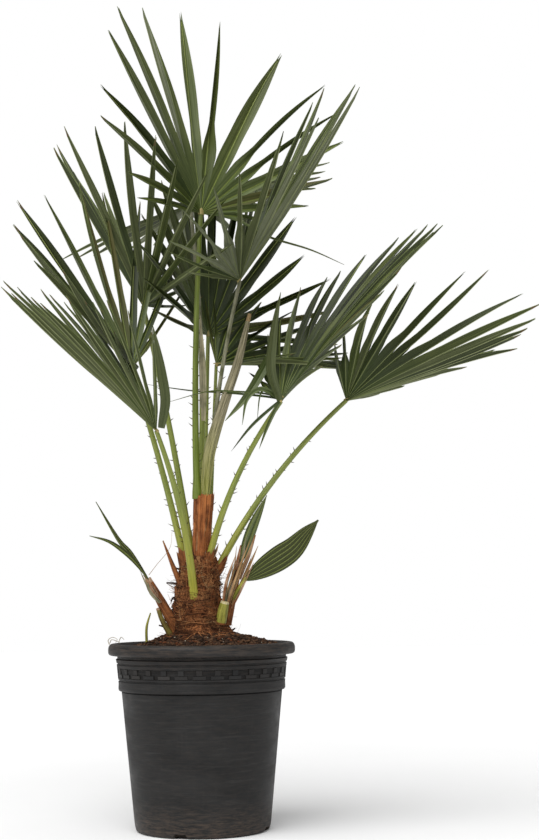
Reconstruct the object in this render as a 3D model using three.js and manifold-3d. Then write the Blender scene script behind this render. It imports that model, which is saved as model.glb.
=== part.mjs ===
// European fan palm in a round nursery pot.
// Millimetres, +Z up, origin at the centre of the pot's flat underside.
// The plant is seen from the front along +Y, with +X to the right.

import * as THREE from 'three';
import { mergeVertices } from 'three/addons/utils/BufferGeometryUtils.js';
import Module from 'manifold-3d';

const wasm = await Module();
wasm.setup();

// Clearance between neighbouring pieces
const GAP = 0.3;
const UP = new THREE.Vector3(0, 0, 1);
const DEEP = new THREE.Vector3(0, 1, 0);

// Nursery pot
const POT = {
  height: 235,
  baseRadius: 85,
  baseCorner: 6,
  waistRadius: 102.8,
  waistHeight: 174,
  bandRadius: 106,
  bandTopRadius: 110.3,
  lipHeight: 14.5,
  lipRadius: 120,
  lipEdge: 2.5,
  wall: 3,
  floor: 8,
  sides: 40,
};
const FOOT_NOTCH = { count: 4, width: 15, height: 6, depth: 10, firstAngle: -110 };

// Soil, heaped towards the trunk
const SOIL = { edgeHeight: 226, shoulderRadius: 60, shoulderHeight: 240, topRadius: 42, topHeight: 245, sides: 28 };

// Trunk with its fibrous leaf bases
const TRUNK = {
  foot: SOIL.topHeight - 10,
  top: 346,
  lean: -5,
  stations: [[0, 41], [0.1, 38], [0.2, 33], [0.34, 28], [0.54, 25.5], [0.74, 24], [0.89, 21], [1, 14]],
  sides: 16,
  scaleDepth: 0.07,
  stubs: { count: 9, from: 0.18, to: 0.84, turn: 137.5, sunk: 8, out: 12, rise: 20, radii: [5, 2] },
};
const SHEATH = { foot: TRUNK.top + GAP, top: 425, footRadius: 11, topRadius: 13, lean: 4, sides: 12 };

// Fronds. A leaf stalk runs from its foot to the point of the fan, bowed sideways at its middle.
// heading and rise aim the middle rib, roll turns the fan about it, spread is half the fan's angle.
// cup lifts the side leaflets, short cuts them, skew lengthens those of one side and cuts the other's,
// droop bends all of them down, joined is the share of the reach where they are still one sheet,
// and slim is how much of their width they keep beyond it.
const FRONDS = [
  {
    name: 'top', point: [3, -15, 796], heading: 83, rise: 85, roll: -35, cup: 0.59, reach: 296, spread: 97,
    short: 0.61, skew: -0.11, droop: 0.07, joined: 0.27, slim: 0.82, leaflets: 16, seed: 99,
    foot: [-4.5, -5, 420], bow: [-4.5, 0, 0], stalk: [4.8, 3],
  },
  {
    name: 'top_rear', point: [-12, 60, 826], heading: 77, rise: 8, roll: 17, cup: 0.12, reach: 289, spread: 63,
    short: 0.17, skew: -0.06, droop: 0.03, joined: 0.35, slim: 0.86, leaflets: 17, seed: 747,
    foot: [-1, 7, 420], bow: [8, 0, 0], stalk: [4.2, 2.8],
  },
  {
    name: 'upper_right', point: [53, -30, 703], heading: 305, rise: 37, roll: -39, cup: 0.54, reach: 293, spread: 80,
    short: 0.52, skew: -0.1, droop: 0.01, joined: 0.33, slim: 0.6, leaflets: 18, seed: 1104,
    foot: [8, 5, 420], bow: [-6, 0, 0], stalk: [3.4, 2.6],
  },
  {
    name: 'centre', point: [12, 110, 654], heading: 80, rise: 84, roll: -60, cup: 0.3, reach: 251, spread: 94,
    short: 0.14, skew: 0.06, droop: 0, joined: 0.36, slim: 0.85, leaflets: 17, seed: 513,
    foot: [2, 14, 350], bow: [0, 12, 0], stalk: [4, 2.8],
  },
  {
    name: 'centre_low', point: [22, 40, 602], heading: 26, rise: 9, roll: -30, cup: 0.52, reach: 231, spread: 76,
    short: 0.41, skew: 0.06, droop: 0.09, joined: 0.33, slim: 0.7, leaflets: 15, seed: 139,
    foot: [10, 12, 350], bow: [0, 4, 0], stalk: [3, 2.2],
  },
  {
    name: 'left_low', point: [-54, -110, 498], heading: 205, rise: 40, roll: 22, cup: 0.56, reach: 262, spread: 53,
    short: 0.19, skew: -0.12, droop: 0.04, joined: 0.36, slim: 0.8, leaflets: 21, seed: 665,
    foot: [-9, -18, 290], bow: [8, -4, 0], stalk: [6, 3],
  },
  {
    name: 'left_mid', point: [-88, -30, 587], heading: 209, rise: 48, roll: 49, cup: 0.56, reach: 251, spread: 79,
    short: 0.41, skew: 0.13, droop: 0, joined: 0.29, slim: 0.85, leaflets: 16, seed: 1026,
    foot: [-17, -2, 318], bow: [4, 0, 0], stalk: [5, 3],
  },
  {
    name: 'left_upper', point: [-75, 30, 681], heading: 180, rise: 61, roll: -8, cup: 0.59, reach: 264, spread: 92,
    short: 0.25, skew: -0.06, droop: 0.01, joined: 0.28, slim: 0.83, leaflets: 17, seed: 716,
    foot: [-10, 10, 334], bow: [4, 0, 0], stalk: [5, 3],
  },
  {
    name: 'right', point: [103, -60, 540], heading: 8, rise: 54, roll: -10, cup: 0.24, reach: 326, spread: 75,
    short: 0.54, skew: 0.04, droop: 0.1, joined: 0.34, slim: 0.72, leaflets: 20, seed: 948,
    foot: [8, -9, 334], bow: [-11, 0, 4], stalk: [5, 3],
  },
  {
    name: 'far_right', point: [193, 10, 549], heading: 345, rise: 24, roll: 15, cup: 0.41, reach: 286, spread: 76,
    short: 0.55, skew: -0.12, droop: 0.04, joined: 0.36, slim: 0.75, leaflets: 18, seed: 223,
    foot: [15, 0, 318], bow: [-11, 0, 8], stalk: [5, 3],
  },
];
const BLADE = {
  thickness: 3,
  openFold: 24,
  shutFold: 62,
  foldPower: 1.5,
  sideSplit: 0.5,
  swell: 1.45,
  taper: 0.78,
  blunt: 5,
  lengthVariation: 0.06,
  liftVariation: 9,
  angleVariation: 0.2,
  stations: [0.42, 0.8],
};
const STALK = { sides: 7, steps: 6 };

// Unopened spear leaf
const SPEAR = {
  line: [[6, -6, 424], [10, -10, 466], [16, -12, 496], [33, -12, 548], [51, -12, 601], [66, -12, 662]],
  radii: [6, 7.6, 8, 6.8, 5.6, 2.4],
};

// Suckers beside the trunk
const SUCKER_LEFT = {
  sheath: { line: [[-30, -11, 248], [-50, -17, 285], [-68, -22, 318]], radii: [7, 6, 3.4] },
  stub: { line: [[-38, -13, 242], [-50, -18, 264], [-56, -20, 280]], radii: [4, 3, 2.2] },
  leaves: [
    { name: 'long', line: [[-66, -22, 314], [-105, -27, 366], [-134, -30, 416]], width: 13, folds: 2, face: [0.7, -0.7, 0.3] },
    { name: 'low', line: [[-67, -25, 316], [-111, -38, 355], [-141, -44, 372]], width: 8.5, folds: 1, face: [0.3, -0.8, 0.5] },
  ],
};
const SUCKER_RIGHT = {
  sheath: { line: [[30, -9, 258], [41, -11, 306], [49, -12, 338]], radii: [8, 6.5, 5] },
  stub: { line: [[24, -22, 259], [27, -25, 274], [30, -27, 287]], radii: [7, 6.3, 5.2] },
  stalk: { line: [[39, -14, 288], [50, -22, 306], [58, -23, 317]], radii: [3, 2.6, 2.2] },
  leaves: [
    { name: 'narrow', line: [[48, -12, 331], [66, -4, 381], [86, 0, 424]], width: 14, folds: 2, face: [0.3, -0.9, 0.1] },
    { name: 'broad', line: [[55, -23, 314], [104, -27, 350], [151, -24, 390]], width: 34, folds: 4, face: [-0.15, -0.9, 0.35] },
  ],
  spikes: [
    { name: 'inner', line: [[44, -16, 328], [48, -18, 344], [51, -18, 359]], radii: [2.6, 2, 0.8] },
    { name: 'outer', line: [[48, -14, 316], [61, -17, 346], [70, -18, 372]], radii: [3, 2.6, 0.8] },
  ],
};
const SUCKER_LEAF = { thickness: 2, foldDepth: 1.2, steps: 7 };
const BRACT = { line: [[-24, -9, 302], [-35, -12, 330], [-49, -14, 366]], radii: [4, 3, 0.8] };
const SHOOT = { line: [[-70, -20, 234], [-70, -21, 256], [-65, -22, 274]], radii: [1.8, 1.6, 0.8] };

const COLOUR = {
  plastic: 0x2f3133,
  soil: 0x2e2118,
  trunk: 0x5a3d28,
  sheath: 0x9a5426,
  stalk: 0x7f9440,
  blade: 0x3d5230,
  spear: 0x86876b,
  stub: 0x9aa03c,
};

const degrees = THREE.MathUtils.degToRad;
const vector = (p) => new THREE.Vector3(...p);

// Even draws from a whole-number seed, in 0 to 1
function seeded(seed) {
  let state = seed;
  return () => {
    state = (state * 1664525 + 1013904223) % 4294967296;
    return state / 4294967296;
  };
}

function solid(points, triangles) {
  const vertProperties = new Float32Array(points.flatMap((p) => [p.x, p.y, p.z]));
  const triVerts = new Uint32Array(triangles.flat());
  return new wasm.Manifold(new wasm.Mesh({ numProp: 3, vertProperties, triVerts }));
}

function solidFromGeometry(geometry) {
  const bare = geometry.clone();
  bare.deleteAttribute('normal');
  bare.deleteAttribute('uv');
  const merged = mergeVertices(bare, 1e-4);
  const vertProperties = new Float32Array(merged.attributes.position.array);
  const triVerts = new Uint32Array(merged.index.array);
  return new wasm.Manifold(new wasm.Mesh({ numProp: 3, vertProperties, triVerts }));
}

// The largest of the bodies that a cut leaves
function mainBody(shape) {
  const bodies = shape.decompose();
  return bodies.reduce((best, body) => (body.volume() > best.volume() ? body : best));
}

function boxesMeet(first, second) {
  const a = first.boundingBox();
  const b = second.boundingBox();
  return [0, 1, 2].every((k) => a.min[k] < b.max[k] && b.min[k] < a.max[k]);
}

function cutBy(shape, tools) {
  let left = shape;
  for (const tool of tools) {
    if (boxesMeet(left, tool)) left = left.subtract(tool);
  }
  return mainBody(left);
}

// Closed limb along a curve. radiusAt takes the share of the way along and the angle around.
function limb(curve, radiusAt, sides, steps) {
  const points = [];
  for (let k = 0; k <= steps; k += 1) {
    const t = k / steps;
    const centre = curve.getPoint(t);
    const along = curve.getTangent(t);
    const across = along.clone().cross(DEEP).normalize();
    const over = along.clone().cross(across).normalize();
    for (let j = 0; j < sides; j += 1) {
      const angle = (2 * Math.PI * j) / sides;
      const radius = radiusAt(t, angle);
      points.push(centre.clone()
        .addScaledVector(across, radius * Math.cos(angle))
        .addScaledVector(over, radius * Math.sin(angle)));
    }
  }
  const first = points.length;
  const last = first + 1;
  points.push(curve.getPoint(0), curve.getPoint(1));
  const end = steps * sides;
  const triangles = [];
  for (let j = 0; j < sides; j += 1) {
    const next = (j + 1) % sides;
    for (let k = 0; k < steps; k += 1) {
      const low = k * sides;
      const high = low + sides;
      triangles.push([low + j, low + next, high + next], [low + j, high + next, high + j]);
    }
    triangles.push([first, next, j], [last, end + j, end + next]);
  }
  return solid(points, triangles);
}

function alongRadii(radii, grow) {
  const spans = radii.length - 1;
  return (t) => {
    const k = Math.min(Math.floor(t * spans), spans - 1);
    return THREE.MathUtils.lerp(radii[k], radii[k + 1], t * spans - k) + grow;
  };
}

function lineLimb({ line, radii }, grow = 0, sides = 7) {
  const curve = new THREE.CatmullRomCurve3(line.map(vector));
  return limb(curve, alongRadii(radii, grow), sides, 2 * (line.length - 1));
}

// Slab of even thickness on a sheet of triangles that run anticlockwise seen from the front
function slab(points, normals, triangles, thickness) {
  const count = points.length;
  const front = points.map((p, k) => p.clone().addScaledVector(normals[k], thickness / 2));
  const back = points.map((p, k) => p.clone().addScaledVector(normals[k], -thickness / 2));
  const edges = new Set();
  for (const [a, b, c] of triangles) {
    edges.add(`${a} ${b}`).add(`${b} ${c}`).add(`${c} ${a}`);
  }
  const faces = [...triangles, ...triangles.map(([a, b, c]) => [c + count, b + count, a + count])];
  for (const edge of edges) {
    const [a, b] = edge.split(' ').map(Number);
    if (!edges.has(`${b} ${a}`)) faces.push([a + count, b + count, b], [a + count, b, a]);
  }
  return solid([...front, ...back], faces);
}

// Directions of a fan: its middle rib, the side to the right of it, and the upper face
function fanAxes(frond) {
  const heading = degrees(frond.heading);
  const rise = degrees(frond.rise);
  const roll = degrees(frond.roll);
  const outward = new THREE.Vector3(Math.cos(heading), Math.sin(heading), 0);
  const rib = outward.clone().multiplyScalar(Math.cos(rise)).addScaledVector(UP, Math.sin(rise));
  const level = outward.clone().multiplyScalar(-Math.sin(rise)).addScaledVector(UP, Math.cos(rise));
  const right = rib.clone().cross(level);
  const side = right.multiplyScalar(Math.cos(roll)).addScaledVector(level, Math.sin(roll));
  return { rib, side, face: side.clone().cross(rib) };
}

// Leaflets of a fan: angle from the middle rib, length, lift of the tip and bend of the two halves
function fanLeaflets(frond) {
  const draw = seeded(frond.seed);
  const spread = degrees(frond.spread);
  const pitch = (2 * spread) / (frond.leaflets - 1);
  const either = () => 2 * draw() - 1;
  return Array.from({ length: frond.leaflets }, (_, k) => {
    const variation = 1 + BLADE.lengthVariation * either();
    const lift = BLADE.liftVariation * either();
    const angle = k * pitch - spread + BLADE.angleVariation * pitch * either();
    const bend = degrees(THREE.MathUtils.lerp(BLADE.openFold, BLADE.shutFold, draw() ** BLADE.foldPower));
    const aside = angle / spread;
    const length = frond.reach * (1 - frond.short * aside ** 2 + frond.skew * aside) * variation;
    return { angle, length, lift, bend };
  });
}

// One fan as a thin pleated blade, cut to the rib between its leaflets
function fanBlade(frond, grow = 0) {
  const { rib, side, face } = fanAxes(frond);
  const origin = vector(frond.point);
  const spread = degrees(frond.spread);
  const halfPitch = spread / (frond.leaflets - 1);
  const direction = (angle) => rib.clone().multiplyScalar(Math.cos(angle))
    .addScaledVector(side, Math.sin(angle))
    .addScaledVector(face, frond.cup * Math.abs(Math.sin(angle)) ** 1.5)
    .normalize();
  const place = (angle, radius) => origin.clone()
    .addScaledVector(direction(angle), radius)
    .addScaledVector(UP, (-frond.droop * radius * radius) / frond.reach);
  const acrossAt = (angle) => direction(angle + 0.01).sub(direction(angle - 0.01)).normalize();
  const faceAt = (angle) => acrossAt(angle).cross(direction(angle)).normalize();
  const joinedRadius = (angle) => {
    const share = THREE.MathUtils.clamp(angle / spread, -1, 1);
    return frond.reach * frond.joined * (1 - BLADE.sideSplit * share * share);
  };
  const halfWidth = (split) => (split * Math.tan(halfPitch)) / Math.cos(degrees(BLADE.openFold));

  const points = [origin.clone().addScaledVector(rib, -2 * grow)];
  const normals = [face.clone()];
  const triangles = [];
  const add = (point, normal) => {
    points.push(point);
    normals.push(normal);
    return points.length - 1;
  };
  const margin = (angle, outward = 0) => {
    const radius = joinedRadius(angle);
    const normal = faceAt(angle);
    const raise = (halfWidth(radius) * Math.sin(degrees(BLADE.openFold))) / 2;
    const point = place(angle, radius).addScaledVector(acrossAt(angle), 2 * grow * outward);
    return add(point.addScaledVector(normal, raise), normal);
  };

  const leaflets = fanLeaflets(frond);
  let start = leaflets[0].angle - halfPitch;
  let left = margin(start, -1);
  leaflets.forEach(({ angle, length, lift, bend }, k) => {
    const last = k === leaflets.length - 1;
    const end = last ? angle + halfPitch : (angle + leaflets[k + 1].angle) / 2;
    const right = margin(end, last ? 1 : 0);
    const split = joinedRadius(angle);
    const width = halfWidth(split);
    const across = acrossAt(angle);
    const normal = faceAt(angle);
    const station = (share) => {
      const swollen = 1 + BLADE.swell * share * (1 - share);
      const scale = frond.slim * swollen * (1 - BLADE.taper * share ** BLADE.blunt);
      const wide = scale * width * Math.cos(bend);
      const deep = (scale * width * Math.sin(bend)) / 2;
      const radius = THREE.MathUtils.lerp(split, length, share);
      const fold = place(angle, radius).addScaledVector(normal, lift * share * share - deep);
      const edge = (reach) => fold.clone()
        .addScaledVector(across, reach + Math.sign(reach) * grow)
        .addScaledVector(normal, 2 * deep * (1 + grow / Math.abs(reach)));
      return [
        add(edge((-wide * (angle - start)) / halfPitch), normal),
        add(fold, normal),
        add(edge((wide * (end - angle)) / halfPitch), normal),
      ];
    };
    const sunk = (width * Math.sin(degrees(BLADE.openFold))) / 2;
    const middle = add(place(angle, split).addScaledVector(normal, -sunk), normal);
    triangles.push([0, middle, left], [0, right, middle]);
    let near = [left, middle, right];
    for (const share of BLADE.stations) {
      const far = station(share);
      triangles.push(
        [near[0], near[1], far[1]],
        [near[0], far[1], far[0]],
        [near[1], near[2], far[2]],
        [near[1], far[2], far[1]],
      );
      near = far;
    }
    const tip = add(place(angle, length + 4 * grow).addScaledVector(normal, lift), normal);
    triangles.push([near[0], near[1], tip], [near[1], near[2], tip]);
    start = end;
    left = right;
  });
  return slab(points, normals, triangles, BLADE.thickness + 4 * grow);
}

function stalkLimb(frond, grow = 0) {
  const foot = vector(frond.foot);
  const point = vector(frond.point);
  const middle = foot.clone().add(point).multiplyScalar(0.5).addScaledVector(vector(frond.bow), 2);
  const curve = new THREE.QuadraticBezierCurve3(foot, middle, point);
  return limb(curve, alongRadii(frond.stalk, grow), STALK.sides, STALK.steps);
}

// Lengthwise pleated leaf of a sucker: widest just below its middle, pointed at both ends
function suckerLeaf({ line, width, folds, face }, grow = 0) {
  const curve = new THREE.CatmullRomCurve3(line.map(vector));
  const normal = vector(face).normalize();
  const columns = 2 * folds + 1;
  const points = [];
  const normals = [];
  for (let k = 0; k <= SUCKER_LEAF.steps; k += 1) {
    const t = k / SUCKER_LEAF.steps;
    const along = curve.getTangent(t);
    const across = along.clone().cross(normal).normalize();
    const half = (width / 2) * Math.max(Math.sin(Math.PI * t ** 0.85) ** 0.8, 0.08) + grow;
    for (let j = 0; j < columns; j += 1) {
      const share = (2 * j) / (columns - 1) - 1;
      const fold = (j % 2 === 0 ? 1 : -1) * SUCKER_LEAF.foldDepth * (half / width);
      points.push(curve.getPoint(t).addScaledVector(across, share * half).addScaledVector(normal, fold));
      normals.push(normal);
    }
  }
  const triangles = [];
  for (let k = 0; k < SUCKER_LEAF.steps; k += 1) {
    for (let j = 0; j < columns - 1; j += 1) {
      const low = k * columns + j;
      const high = low + columns;
      triangles.push([low, low + 1, high + 1], [low, high + 1, high]);
    }
  }
  return slab(points, normals, triangles, SUCKER_LEAF.thickness + 2 * grow);
}

function lathe(profile, sides) {
  const geometry = new THREE.LatheGeometry(profile.map(([r, z]) => new THREE.Vector2(r, z)), sides);
  return solidFromGeometry(geometry.rotateX(Math.PI / 2));
}

function potWallRadius(height) {
  const share = THREE.MathUtils.clamp(height / POT.waistHeight, 0, 1);
  return THREE.MathUtils.lerp(POT.baseRadius + 2, POT.waistRadius, share) - POT.wall;
}

function makePot() {
  const lipFoot = POT.height - POT.lipHeight;
  const outside = [
    [0, 0],
    [POT.baseRadius - POT.baseCorner, 0],
    [POT.baseRadius, POT.baseCorner * 0.4],
    [POT.baseRadius + 2, POT.baseCorner * 2],
    [POT.waistRadius, POT.waistHeight],
    [POT.bandRadius, POT.waistHeight + 4],
    [POT.bandTopRadius, lipFoot - 1],
    [POT.lipRadius - POT.lipEdge, lipFoot],
    [POT.lipRadius, lipFoot + POT.lipEdge],
    [POT.lipRadius, POT.height - 2 * POT.lipEdge],
    [POT.lipRadius - POT.lipEdge, POT.height],
  ];
  const inside = [
    [POT.bandTopRadius - POT.wall + 2, POT.height],
    [POT.bandTopRadius - POT.wall, POT.height - 4],
    [POT.bandRadius - POT.wall, POT.waistHeight + 4],
    [potWallRadius(POT.waistHeight), POT.waistHeight],
    [potWallRadius(POT.floor), POT.floor],
    [0, POT.floor],
  ];
  const shell = lathe([...outside, ...inside], POT.sides);
  const cutters = [];
  for (let k = 0; k < FOOT_NOTCH.count; k += 1) {
    const notch = new THREE.BoxGeometry(FOOT_NOTCH.depth * 2, FOOT_NOTCH.width, FOOT_NOTCH.height * 2);
    notch.translate(POT.baseRadius + 2, 0, 0);
    notch.rotateZ(degrees(FOOT_NOTCH.firstAngle + (360 * k) / FOOT_NOTCH.count));
    cutters.push(solidFromGeometry(notch));
  }
  return cutBy(shell, cutters);
}

function makeSoil(grow = 0) {
  return lathe([
    [0, POT.floor + GAP],
    [potWallRadius(POT.floor) - 2 * GAP, POT.floor + GAP],
    [potWallRadius(POT.waistHeight) - 2 * GAP, POT.waistHeight],
    [POT.bandRadius - POT.wall - 2 * GAP, POT.waistHeight + 6],
    [POT.bandRadius - POT.wall, SOIL.edgeHeight + grow],
    [SOIL.shoulderRadius, SOIL.shoulderHeight + grow],
    [SOIL.topRadius, SOIL.topHeight + grow],
    [0, SOIL.topHeight + grow],
  ], SOIL.sides);
}

function trunkCurve() {
  const bend = (TRUNK.foot + TRUNK.top) / 2;
  return new THREE.QuadraticBezierCurve3(
    new THREE.Vector3(0, 0, TRUNK.foot),
    new THREE.Vector3(2 * TRUNK.lean, 0, bend),
    new THREE.Vector3(0, 0, TRUNK.top),
  );
}

function trunkRadius(t) {
  const { stations } = TRUNK;
  const k = Math.max(stations.findIndex(([share]) => share >= t), 1);
  const [low, lowRadius] = stations[k - 1];
  const [high, highRadius] = stations[k];
  return THREE.MathUtils.mapLinear(t, low, high, lowRadius, highRadius);
}

// Trunk of overlapping leaf bases, with the stubs of cut leaves standing out of it
function makeTrunk(grow = 0) {
  const curve = trunkCurve();
  const scales = (t, angle) => 1 + TRUNK.scaleDepth * Math.cos(3 * angle + 9 * t) * Math.sin(11 * t + angle);
  const radiusAt = (t, angle) => trunkRadius(t) * scales(t, angle) + grow;
  let trunk = limb(curve, radiusAt, TRUNK.sides, 12);
  const { count, from, to, turn, sunk, out, rise, radii } = TRUNK.stubs;
  for (let k = 0; k < count; k += 1) {
    const t = THREE.MathUtils.lerp(from, to, k / count);
    const angle = degrees(turn * k + 60);
    const outward = new THREE.Vector3(Math.cos(angle), Math.sin(angle), 0);
    const foot = curve.getPoint(t).addScaledVector(outward, trunkRadius(t) - sunk);
    const tip = foot.clone().addScaledVector(outward, out).addScaledVector(UP, rise);
    trunk = trunk.add(limb(new THREE.LineCurve3(foot, tip), alongRadii(radii, grow), 5, 1));
  }
  return trunk;
}

function makeSheath(grow = 0) {
  const curve = new THREE.LineCurve3(
    new THREE.Vector3(0, 0, SHEATH.foot - grow),
    new THREE.Vector3(SHEATH.lean, 0, SHEATH.top + grow),
  );
  const flat = (angle) => 1 - 0.06 * Math.cos(2 * angle);
  const radius = alongRadii([SHEATH.footRadius, SHEATH.topRadius], grow);
  return limb(curve, (t, angle) => radius(t) * flat(angle), SHEATH.sides, 2);
}

const palm = new THREE.Group();

function addPart(name, shape, colour, roughness) {
  const { vertProperties, triVerts } = shape.getMesh();
  const geometry = new THREE.BufferGeometry();
  geometry.setAttribute('position', new THREE.BufferAttribute(new Float32Array(vertProperties), 3));
  geometry.setIndex(new THREE.BufferAttribute(new Uint32Array(triVerts), 1));
  geometry.computeVertexNormals();
  const mesh = new THREE.Mesh(geometry, new THREE.MeshStandardMaterial({ color: colour, roughness, metalness: 0 }));
  mesh.name = name;
  palm.add(mesh);
}

// What is placed first is kept whole. What comes later is cut clear of it.
const placed = [];

function place(name, make, colour, roughness) {
  const shape = cutBy(make(0), placed);
  placed.push(make(GAP));
  addPart(name, shape, colour, roughness);
}

addPart('pot', makePot(), COLOUR.plastic, 0.6);
place('soil', makeSoil, COLOUR.soil, 1);
place('trunk', makeTrunk, COLOUR.trunk, 1);
place('sheath', makeSheath, COLOUR.sheath, 0.9);
place('spear', (grow) => lineLimb(SPEAR, grow, 8), COLOUR.spear, 0.8);

place('trunk_bract', (grow) => lineLimb(BRACT, grow, 6), COLOUR.trunk, 1);
place('cut_stub', (grow) => lineLimb(SUCKER_RIGHT.stub, grow, 8), COLOUR.stub, 0.6);
place('sucker_left', (grow) => lineLimb(SUCKER_LEFT.sheath, grow), COLOUR.sheath, 0.9);
place('sucker_left_stub', (grow) => lineLimb(SUCKER_LEFT.stub, grow), COLOUR.stub, 0.7);
place('sucker_right', (grow) => lineLimb(SUCKER_RIGHT.sheath, grow), COLOUR.sheath, 0.9);
place('sucker_right_stalk', (grow) => lineLimb(SUCKER_RIGHT.stalk, grow), COLOUR.stalk, 0.6);
for (const spike of SUCKER_RIGHT.spikes) {
  place(`sucker_right_spike_${spike.name}`, (grow) => lineLimb(spike, grow, 6), COLOUR.sheath, 0.9);
}
place('soil_shoot', (grow) => lineLimb(SHOOT, grow, 6), COLOUR.stalk, 0.6);

for (const frond of FRONDS) {
  place(`stalk_${frond.name}`, (grow) => stalkLimb(frond, grow), COLOUR.stalk, 0.55);
}
for (const leaf of SUCKER_LEFT.leaves) {
  place(`sucker_left_leaf_${leaf.name}`, (grow) => suckerLeaf(leaf, grow), COLOUR.blade, 0.6);
}
for (const leaf of SUCKER_RIGHT.leaves) {
  place(`sucker_right_leaf_${leaf.name}`, (grow) => suckerLeaf(leaf, grow), COLOUR.blade, 0.6);
}
for (const frond of FRONDS) {
  place(`blade_${frond.name}`, (grow) => fanBlade(frond, grow), COLOUR.blade, 0.55);
}

export default palm;
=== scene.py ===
# European fan palm in a round nursery pot: fans of folded leaflets on spiny stalks, a fibrous trunk,
# soil and pot. Metres, +Z up, origin at the centre of the pot's underside, with the front towards -Y.

import math
import random

import bmesh
import bpy
from mathutils import Matrix, Vector, noise


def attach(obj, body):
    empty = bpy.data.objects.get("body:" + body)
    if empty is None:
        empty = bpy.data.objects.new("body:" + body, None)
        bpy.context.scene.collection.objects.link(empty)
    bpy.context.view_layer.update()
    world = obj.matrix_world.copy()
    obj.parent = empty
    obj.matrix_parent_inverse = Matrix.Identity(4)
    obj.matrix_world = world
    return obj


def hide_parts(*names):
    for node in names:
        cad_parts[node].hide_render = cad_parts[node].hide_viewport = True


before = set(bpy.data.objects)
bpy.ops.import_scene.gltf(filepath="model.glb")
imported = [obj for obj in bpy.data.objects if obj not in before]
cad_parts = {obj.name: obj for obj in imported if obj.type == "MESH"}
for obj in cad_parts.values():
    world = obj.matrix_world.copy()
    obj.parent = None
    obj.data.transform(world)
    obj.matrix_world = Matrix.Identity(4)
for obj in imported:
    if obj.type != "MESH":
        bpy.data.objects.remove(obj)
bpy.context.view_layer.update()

UP = Vector((0, 0, 1))
DEEP = Vector((0, 1, 0))
BODY = "root"

# Camera, with its focal length in pixels of the picture
PICTURE = (539, 840)
EYE = Vector((0, -2.0, 0.3))
YAW, PITCH, ROLL = (math.radians(angle) for angle in (2.6, 6.35, -0.7))
FOCAL = 1536
SENSOR = 36

# Strength of the light from all sides, then the strength, direction and width of the key light
AMBIENT = 0.42
KEY = dict(strength=3.2, aim=(0.35, 0.7, -1.0), width=math.radians(70))
FLOOR_REACH = 6

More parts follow.
